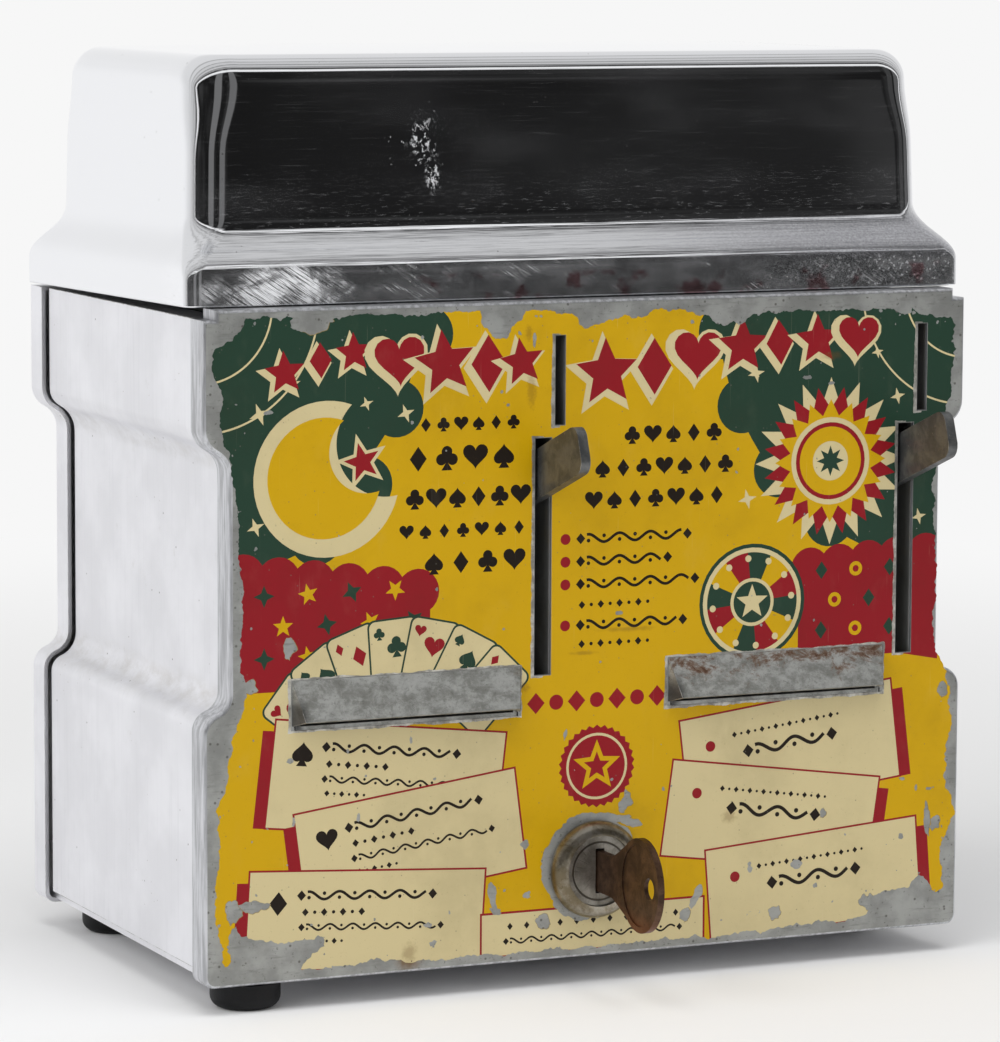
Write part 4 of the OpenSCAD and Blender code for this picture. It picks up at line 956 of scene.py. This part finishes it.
lay("cream", oblong((0, 6.8), 56, 9.6))
lay("black", *[lozenge((4.2 * k, 8.6), 1.7, wide=0.8) for k in range(-5, 6)])
scrollLine((-22, 5.2), 44, 1.1)

# Bare metal: flakes seen on the plate, then a scatter of small ones
flakes = [
    (-75, 75.5, 1.1, 2.2, 0), (-84.6, 67.4, 1.6, 1.2, 0), (-70, 147.4, 4.6, 1.7, 0), (-75, 50.5, 0.9, 0.6, 0),
    (-61, 51.5, 0.3, 0.5, 0), (-45.6, 53.2, 0.3, 0.8, 0), (-40, 44, 0.4, 0.5, 0), (-58.4, 36.6, 0.45, 1.0, 0),
    (-74, 36.5, 0.45, 1.0, 0), (-17.4, 27.2, 1.0, 0.9, 0), (-25.4, 15.8, 0.85, 3.3, 12), (-24.2, 12.4, 1.5, 0.8, -20),
    (-16.5, 15.4, 0.9, 0.8, 0), (-36, 13, 0.35, 0.45, 0), (-41.6, 10.6, 1.0, 0.7, 0), (-40, 6.3, 0.9, 0.7, 0),
    (-12.6, 9.0, 1.9, 1.3, -30), (-85.4, 18.2, 5.0, 1.25, -4), (-88.6, 16.4, 1.6, 2.6, 0), (-87.6, 8.4, 1.6, 2.0, 0),
    (3.0, 32.2, 5.5, 1.1, -6), (9.6, 30.4, 2.8, 0.9, -14), (7.8, 35.4, 1.5, 3.0, -14), (-7.4, 52, 0.4, 1.3, -12),
    (26.2, 12, 0.8, 2.9, -24), (23.4, 7.6, 1.6, 1.5, 0), (40.2, 18, 0.9, 1.0, 0), (41.4, 6.8, 2.1, 0.7, 8),
    (47, 6.3, 1.5, 1.6, 40), (52.4, 17.6, 1.3, 0.9, 0), (59, 29.4, 1.0, 1.1, 0), (57.4, 12, 0.5, 0.5, 0),
    (80, 22.3, 0.5, 0.5, 0), (80, 36, 0.8, 0.3, -10), (83.8, 33.6, 0.35, 0.7, 0), (87.4, 33.2, 0.8, 0.3, 0),
    (86.8, 26, 1.0, 4.2, 6), (88.8, 24.6, 1.7, 1.2, 50), (90.4, 56.6, 1.1, 1.6, 0), (53.6, 131.6, 1.2, 0.6, 0),
    (60, 130, 0.8, 0.5, 0), (-80, 128.2, 1.3, 0.4, 6), (-22, 128, 0.5, 0.35, 0), (-15.6, 142.4, 0.4, 1.6, 0),
    (6, 79.4, 0.9, 0.7, 0), (-39.4, 87, 0.3, 0.5, 0), (-2.5, 18, 0.4, 0.6, 0), (71.4, 7.0, 2.2, 1.6, 0),
]
for k, (across, height, wide, tall, turn) in enumerate(flakes):
    centre = np.array((across, height))
    shape = flake(centre, wide, tall, turn, 100 + k)
    if min(wide, tall) > 0.9:
        lay("grime", (shape - centre) * (1 + 0.07 / wide, 1 + 0.07 / tall) + centre + (0.03, -0.03))
    lay(None, shape)
scatter = {"seed": 11, "count": 150, "overall": 56, "across": (-90, 92), "height": (4, 147), "spread": 2.2}
draws = np.random.default_rng(scatter["seed"])
for k in range(scatter["count"]):
    centre = draws.uniform(*scatter["across"]), draws.uniform(*scatter["height"])
    if k >= scatter["overall"]:  # the rest lie along the paint's edge
        rim = paintEdge[draws.integers(len(paintEdge))]
        centre = np.array(rim) * (0.985, 1) + draws.normal(0, scatter["spread"], 2)
    size = draws.uniform(0.10, 0.38)
    lay(None, flake(centre, size, size * draws.uniform(0.6, 1.6), draws.uniform(0, 90), 300 + k))
lay(None, ragged(disc((-0.9, 21.0), 12.3, 70), 0.42, 21))

# Openings of the plate, cut a little wide, so that their punched edges stay bare, with pale strips round them, widest
# on their left sides, painted as a highlight of the burrs catching light
slotShape = {
    "hoodAcross": 46.5, "leverOff": 33.3, "coinOff": 4.1, "hoodHalf": 27.9, "hoodLow": 57.0, "hoodHigh": 68.4,
    "leverHalf": 2.05, "leverLow": 66.0, "leverHigh": 120.2, "coinHalf": 1.25, "coinLow": 122.92, "coinHigh": 143.28,
}


def box(left, right, low, high):
    return [(left, low), (right, low), (right, high), (left, high)]


for side in (-1, 1):
    hood = side * slotShape["hoodAcross"]
    left, right = hood - slotShape["hoodHalf"], hood + slotShape["hoodHalf"]
    low, high = slotShape["hoodLow"], slotShape["hoodHigh"]
    lay("burrHighlight", ragged(box(left - 0.9, right + 0.4, low - 0.5, high + 0.3), 0.18, 40 + side))
    lay(None, box(left - 0.2, right + 0.1, low, high))
    lever = hood + slotShape["leverOff"]
    for name, middle in (("lever", lever), ("coin", lever + slotShape["coinOff"])):
        half, low, high = (slotShape[name + key] for key in ("Half", "Low", "High"))
        lay("burrHighlight", ragged(box(middle - half - 0.85, middle, low - 0.5, high + 0.45), 0.16, int(50 + high)))
        lay(None, box(middle - half - 0.12, middle + half + 0.12, low - 0.12, high + 0.12))


# The layers are laid flat into one sheet: each triangle takes the ink of the topmost outline over it,
# and the sheet gets its thickness, with walls along every edge where the paint ends
def printSheet(thick=0.05, sunk=0.02):
    names = list(inks)
    starts = np.cumsum([0] + [len(points) for points, ink in printLayers])
    corners = np.vstack([points for points, ink in printLayers])
    outlines = [list(range(a, b)) for a, b in zip(starts[:-1], starts[1:])]
    made = delaunay_2d_cdt(corners.tolist(), [], outlines, 1, 1e-5, True)
    flat, triangles, owners = np.array([tuple(p) for p in made[0]]), np.array(made[2]), made[5]
    # an outline counts only inside its own box, so that one that crosses itself can't flood the sheet
    pairs = np.array([(row, k) for row, ids in enumerate(owners) for k in ids])
    boxes = np.array([[points.min(0), points.max(0)] for points, ink in printLayers])
    middles = flat[triangles].mean(1)[pairs[:, 0]]
    held = ((middles >= boxes[pairs[:, 1], 0]) & (middles <= boxes[pairs[:, 1], 1])).all(1)
    pairs = pairs[held]
    top = np.full(len(triangles), -1)
    np.maximum.at(top, pairs[:, 0], pairs[:, 1])
    based = np.zeros(len(triangles), bool)
    based[pairs[pairs[:, 1] == 0, 0]] = True
    layerInk = np.array([names.index(ink) if ink else -1 for points, ink in printLayers])
    ink = np.where(based, layerInk[top], -1)
    triangles, ink = triangles[ink >= 0], ink[ink >= 0]
    count = len(flat)
    sheet = np.zeros((2 * count, 3))
    sheet[:, 0] = np.tile(flat[:, 0], 2) * mm
    sheet[:, 2] = np.tile(flat[:, 1], 2) * mm + caseZ
    sheet[:count, 1], sheet[count:, 1] = plateY - thick * mm, plateY + sunk * mm
    edges = np.vstack([triangles[:, [0, 1]], triangles[:, [1, 2]], triangles[:, [2, 0]]])
    keys = np.sort(edges, 1) @ np.array([count, 1])
    first, times = np.unique(keys, return_index=True, return_counts=True)[1:]
    first = first[times == 1]
    (a, b), rimInk = edges[first].T, np.tile(ink, 3)[first]
    walls = np.vstack([np.stack([b, a, a + count], 1), np.stack([b, a + count, b + count], 1)])
    faces = np.vstack([triangles, triangles[:, ::-1] + count, walls])
    finishes = [printedInk("ink" + n.title(), inks[n]) for n in names[:-1]]
    # the pale finish of the burr strips round the openings, a painted highlight
    finishes.append(rubbedEdge("burrHighlight", inks["burrHighlight"], (150, 147, 140)))
    return makePiece("front_print", sheet, faces, finishes, np.concatenate([ink, ink, rimInk, rimInk]), smooth=False)


# A mesh from whole arrays of points and triangles or quads
def makePiece(name, points, faces, materials, index=None, smooth=True):
    mesh = bpy.data.meshes.new(name)
    sides = faces.shape[1]
    used, faces = np.unique(faces, return_inverse=True)
    points, faces = points[used], faces.reshape(-1, sides)
    mesh.vertices.add(len(points))
    mesh.vertices.foreach_set("co", points.astype(np.float32).ravel())
    mesh.loops.add(faces.size)
    mesh.loops.foreach_set("vertex_index", faces.astype(np.int32).ravel())
    mesh.polygons.add(len(faces))
    mesh.polygons.foreach_set("loop_start", np.arange(0, faces.size, sides, dtype=np.int32))
    for material in materials:
        mesh.materials.append(material)
    if index is not None:
        mesh.polygons.foreach_set("material_index", index.astype(np.int32))
    mesh.update(calc_edges=True)
    mesh.validate()
    if smooth:
        mesh.shade_smooth()
    else:
        mesh.shade_flat()
    return linked(name, mesh)


paint = printSheet()
seatOn(paint, "front_housing")
print("paint:", len(printLayers), "outlines,", len(paint.data.polygons), "faces")

print("lid: chromed pressing")
lidShape = {
    "width": 194.0, "front": 5.0, "back": 115.0, "low": 149.8, "skirt": 9.7, "shoulder": 9.8, "height": 54.9,
    "lift": 1.5, "crown": 0.8, "boxInX": 5.2, "boxInY": 8.8, "skirtRadius": 3.8, "boxRadius": 8.0, "topRadius": 7.2,
    "draft": 0.7, "wall": 1.0, "cornerGrow": 3.2, "hingeY": 117.8, "hingeZ": 150.6, "plateTop": 151.5, "originY": 42.1,
    "curve": (-3.8, 1.8, 3.4),  # heights of the shoulder's first three control points over the skirt's top
    "crownIn": 34.0, "crownRound": 30.0, "rimRound": 0.35, "sharp": 50,
    "rows": {"skirt": 5, "shoulder": 33, "wall": 13, "round": 15, "crown": 9},
}


# One level ring: four straight sides with quarter circles between them, walked anticlockwise from the right side.
# Each side and each corner has the same number of points on every ring, so that rings join up one to one.
def lidRing(half, y0, y1, radius, height, lift, arc=14, run=10):
    radius = min(radius, 0.47 * (y1 - y0))
    corner = arcLine((0, 0), radius, 0, 90, arc + 1)
    x, low, high = half - radius, y0 + radius, y1 - radius
    corners = [placed(corner, c, q) for c, q in (((x, high), 0), ((-x, high), 90), ((-x, low), 180), ((x, low), 270))]
    share = np.linspace(0, 1, run + 2)[1:-1, None]
    parts = []
    for here, after in zip(corners, corners[1:] + corners[:1]):
        parts += [here, here[-1] + (after[0] - here[-1]) * share]
    flat = np.vstack(parts)
    rise = height + lift * (flat[:, 1] - lidShape["front"]) / (lidShape["back"] - lidShape["front"])
    return np.column_stack([flat, rise])


# The lid from its rim up: the skirt's wall, a shoulder that follows a cubic curve from the skirt to the box,
# the box's wall, a quarter round and the crowned top, all drawn in by the sheet's thickness for the inside
def lidRings(inset):
    s = lidShape
    shoulderLow, top = s["low"] + s["skirt"], s["low"] + s["height"]
    wallLow, wallTop = shoulderLow + s["shoulder"], top - s["topRadius"]
    curve = [shoulderLow + height for height in s["curve"]] + [wallLow]
    rings = []

    def add(share, pull, height, lift=0.0, less=0.0):
        radius = s["skirtRadius"] + (s["boxRadius"] - s["skirtRadius"]) * share - less
        x, y = s["boxInX"] * share + pull + inset, s["boxInY"] * share + pull + inset
        rings.append(lidRing(s["width"] / 2 - x, s["front"] + y, s["back"] - y, max(radius - inset, 0.4), height, lift))

    for height in np.linspace(s["low"], curve[0], s["rows"]["skirt"])[:-1]:
        add(0, 0, height)
    for t in np.linspace(0, 1, s["rows"]["shoulder"]):
        weights = np.array([(1 - t) ** 3, 3 * t * (1 - t) ** 2, 3 * t * t * (1 - t), t ** 3])
        add(weights @ (0, 0, 1, 1), 0, weights @ curve)
    for t in np.linspace(0, 1, s["rows"]["wall"])[1:-1]:
        late = max(0.0, (t - 0.5) / 0.5)
        grow = s["cornerGrow"] * late * late * (3 - 2 * late)
        add(1, s["draft"] * t, wallLow + (wallTop - wallLow) * t, s["lift"] * t, -grow)
    for a in np.radians(np.linspace(0, 90, s["rows"]["round"])):
        pull = s["topRadius"] * (1 - math.cos(a))
        add(1, s["draft"] + pull, wallTop + (s["topRadius"] - inset) * math.sin(a), s["lift"], pull - s["cornerGrow"])
    for t in np.linspace(0, 1, s["rows"]["crown"])[1:-1]:
        rise, less = s["crown"] * (1 - (1 - t) ** 2), s["topRadius"] - s["cornerGrow"] - s["crownRound"] * t
        add(1, s["draft"] + s["topRadius"] + s["crownIn"] * t, top - inset + rise, s["lift"], less)
    return np.array(rings)


# Both walls are turned about the hinge until the skirt's front rests at the plate's top, and joined at the rim
def lidPiece():
    s = lidShape
    outer, inner = lidRings(0.0), lidRings(s["wall"])
    rows, count = outer.shape[:2]
    points = np.vstack([outer.reshape(-1, 3), inner.reshape(-1, 3)])
    tilt = math.asin((s["plateTop"] - s["low"]) / (s["hingeY"] - s["front"]))
    y, z = points[:, 1] - s["hingeY"], points[:, 2] - s["hingeZ"]
    points[:, 1] = s["hingeY"] + y * math.cos(tilt) + z * math.sin(tilt)
    points[:, 2] = s["hingeZ"] - y * math.sin(tilt) + z * math.cos(tilt)
    points = points * mm + (0, -s["originY"] * mm, caseZ)
    grid = np.arange(rows * count).reshape(rows, count)
    after = np.roll(grid, -1, 1)
    shell = np.stack([grid[:-1], after[:-1], after[1:], grid[1:]], -1).reshape(-1, 4)
    rim = np.stack([after[0], grid[0], grid[0] + rows * count, after[0] + rows * count], -1)
    faces = np.vstack([shell, shell[:, ::-1] + rows * count, rim])
    lid = makePiece("lid_chromed", points, faces, [lidChrome()])
    cage = bmesh.new()
    cage.from_mesh(lid.data)
    bmesh.ops.holes_fill(cage, edges=[e for e in cage.edges if e.is_boundary], sides=0)
    bmesh.ops.recalc_face_normals(cage, faces=cage.faces)
    cage.to_mesh(lid.data)
    cage.free()
    lid.data.shade_smooth()
    lid.data.set_sharp_from_angle(angle=math.radians(s["sharp"]))
    roundEdges(lid, "rim", s["rimRound"], 3, turn=60)
    return lid


seatOn(lidPiece(), "lid", "lid")

print("fittings: hoods, levers, lock, key and feet")


# The plug's face takes the second material
def markFace(cage):
    for face in cage.faces:
        face.material_index = 1 if face.normal.y < -0.9 else 0


for side in ("left", "right"):
    finished("card_hood_" + side, [hoodZinc(side), edgeHood], bevel=0.28)
steelLever = leverSteel()
for side in ("left", "right"):
    finished("lever_" + side, [steelLever, edgeLever], bevel=0.7, steps=3)
finished("lock_barrel", [nickelBezel], sharp=40)
finished("lock_plug", [nickelInner, plugFace()], prepare=markFace)
finished("key", [keyBronze(), edgeKey], bevel=0.25)
rubberFoot = footRubber()
for foot in ("front_left", "front_middle", "front_right", "rear_left", "rear_right"):
    finished("foot_" + foot, [rubberFoot], sharp=50)

# CAD nodes that keep their shape; a name that ends in _ stands for the left and the right one
inside = {
    steelInner: ["lever_bracket_", "coin_chute_", "lock_cam", "deck", "coin_ramp", "magazine_"],
    steelBright: [
        "lever_shaft_", "cam_screw", "pusher_", "hinge_leaf_lid", "hinge_leaf_case", "hinge_pin", "foot_screws",
        "foot_nuts", "back_screws", "lid_rivets", "case_rivets",
    ],
    wireSpring: ["shaft_clip_", "lever_spring_", "pusher_spring_"],
    nickelInner: ["lock_nut"],
    sheetSatin: ["base_pan"],
    cardEdges(): ["card_stack_"],
    clouded("weightPaint"): ["card_weight_"],
}
for material, names in inside.items():
    for name in names:
        for node in (name + "left", name + "right") if name.endswith("_") else (name,):
            mesh = frame["nodes"][node].data
            mesh.materials.clear()
            mesh.materials.append(material)

print("stage: floor, lamps and studio")
stageLook = {
    "floor": 0.825, "backdrop": 0.93, "ambient": 0.50, "dark": 0.010, "cloud": 0.035, "ground": 0.70,
    "nearFloor": 0.70, "farFloor": 14.0, "fadeFrom": 0.22, "fadeTo": 0.80, "cloudScale": 4.5, "stripEdge": 1.2,
    "groundFrom": -0.20, "groundTo": -0.34,
}
# What polished metal mirrors. Over the top from front to back: degrees, brightness.
mirrored = [
    (0, 0.0), (55, 0.0), (58, 0.90), (63, 0.90), (65, 0.04), (69, 0.05), (72, 0.42), (75, 0.16), (78, 0.60),
    (83, 0.52), (85.5, 0.18), (88, 0.58), (96, 0.60), (98.5, 0.26), (101, 0.66), (111, 0.66), (114, 0.34),
    (117, 0.72), (140, 0.74), (155, 0.93),
]
# Upright strips round the front: from and to, in degrees right of the middle, and brightness
strips = [(-9, 8, 0.14), (-44, -27, 0.155), (50, 66, 0.05), (72, 88, 0.10)]
# Lamps in metres and watts, all aimed at the middle of the dispenser
lampAim = (0, 0, 0.1)
lamps = {
    "leftSoftbox": {"place": (-1.65, -0.5, 1.0), "size": (1.4, 1.3), "watts": 16},
    "topSoftbox": {"place": (-0.15, -0.45, 1.55), "size": (1.3, 0.9), "watts": 12},
    "frontSoftbox": {"place": (0.55, -1.9, 1.0), "size": (1.1, 0.8), "watts": 4},
}
for name, look in lamps.items():
    data = bpy.data.lights.new(name, "AREA")
    data.shape, (data.size, data.size_y), data.energy = "RECTANGLE", look["size"], look["watts"]
    light = linked(name, data)
    light.location = look["place"]
    light.rotation_mode = "QUATERNION"
    light.rotation_quaternion = (Vector(look["place"]) - Vector(lampAim)).to_track_quat("Z", "Y")
    light.visible_glossy = False


# Floor: pale and matt near the dispenser, fading into the backdrop's white further off
def floorPaint():
    f = Finish("floorPaint")
    away = f.add("ShaderNodeVectorMath", {0: f.place}, operation="LENGTH").outputs["Value"]
    far = f.step(away, stageLook["fadeFrom"], stageLook["fadeTo"])
    seen = f.add("ShaderNodeLightPath").outputs["Is Camera Ray"]
    matt = f.add("ShaderNodeBsdfDiffuse", {"Color": (stageLook["floor"],) * 3 + (1,)})
    glow = f.add("ShaderNodeEmission", {"Color": (1, 1, 1, 1), "Strength": stageLook["backdrop"]})
    both = f.add("ShaderNodeMixShader", {0: f.times(far, seen), 1: matt.outputs[0], 2: glow.outputs[0]})
    f.add("ShaderNodeOutputMaterial", {"Surface": both.outputs[0]})
    return f.owner


# A square near the dispenser, which metal mirrors, and the rest of the floor round it, which metal doesn't
def layFloor():
    paint = floorPaint()
    square, k = np.array([(-1, -1, 0), (1, -1, 0), (1, 1, 0), (-1, 1, 0)], float), np.arange(4)
    near, far = square * stageLook["nearFloor"], square * stageLook["farFloor"]
    ring = np.stack([k + 4, (k + 1) % 4 + 4, (k + 1) % 4, k], 1)
    makePiece("floor", near, k[None], [paint], smooth=False)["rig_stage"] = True
    outer = makePiece("floorRound", np.vstack([near, far]), ring, [paint], smooth=False)
    outer.visible_glossy = False
    outer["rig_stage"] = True


layFloor()


# The camera sees a white backdrop, matt surfaces get even light, and polished ones see a studio:
# dark in front, where the camera and its room are, with pale strips, and white above, behind and at the sides
def lightWorld():
    scene.world = bpy.data.worlds.new("studio")
    f = Finish(scene.world, "Generated")
    across, behind, high = f.axes
    front, lifted = f.times(behind, -1.0), f.most(high, 0.0)
    level = f.less(1.0, lifted)
    over = f.math("ARCTAN2", f.plus(lifted, f.times(level, 0.25)), f.plus(front, f.times(level, 0.20)))
    ramp = f.add("ShaderNodeValToRGB", {0: f.math("DIVIDE", over, math.pi)})
    stops = ramp.color_ramp.elements
    while len(stops) < len(mirrored):
        stops.new(0.5)
    for stop, (degrees, glow) in zip(stops, mirrored):
        stop.position, stop.color = degrees / 180, (glow, glow, glow, 1)
    room = f.times(f.step(f.noiseAt(f.place, scale=stageLook["cloudScale"]), 0.42, 0.8), stageLook["cloud"])
    room = f.plus(room, stageLook["dark"])
    bearing = f.math("DEGREES", f.math("ARCTAN2", across, front))
    soft = stageLook["stripEdge"]
    for start, stop, glow in strips:
        strip = f.times(f.step(bearing, start - soft, start + soft), f.step(bearing, stop + soft, stop - soft))
        room = f.most(room, f.times(strip, glow))
    ground = f.step(high, stageLook["groundFrom"], stageLook["groundTo"])
    above = f.times(f.most(room, ramp.outputs[0]), f.less(1.0, ground))
    room = f.plus(above, f.times(ground, stageLook["ground"]))
    rays = f.add("ShaderNodeLightPath").outputs
    camera, glossy = rays["Is Camera Ray"], rays["Is Glossy Ray"]
    rest = f.times(f.less(1.0, f.most(camera, glossy)), stageLook["ambient"])
    strength = f.plus(f.times(camera, stageLook["backdrop"]), f.times(glossy, room), rest)
    sky = f.add("ShaderNodeBackground", {"Color": (1, 1, 1, 1), "Strength": strength})
    f.add("ShaderNodeOutputWorld", {"Surface": sky.outputs[0]})


lightWorld()

low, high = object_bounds()
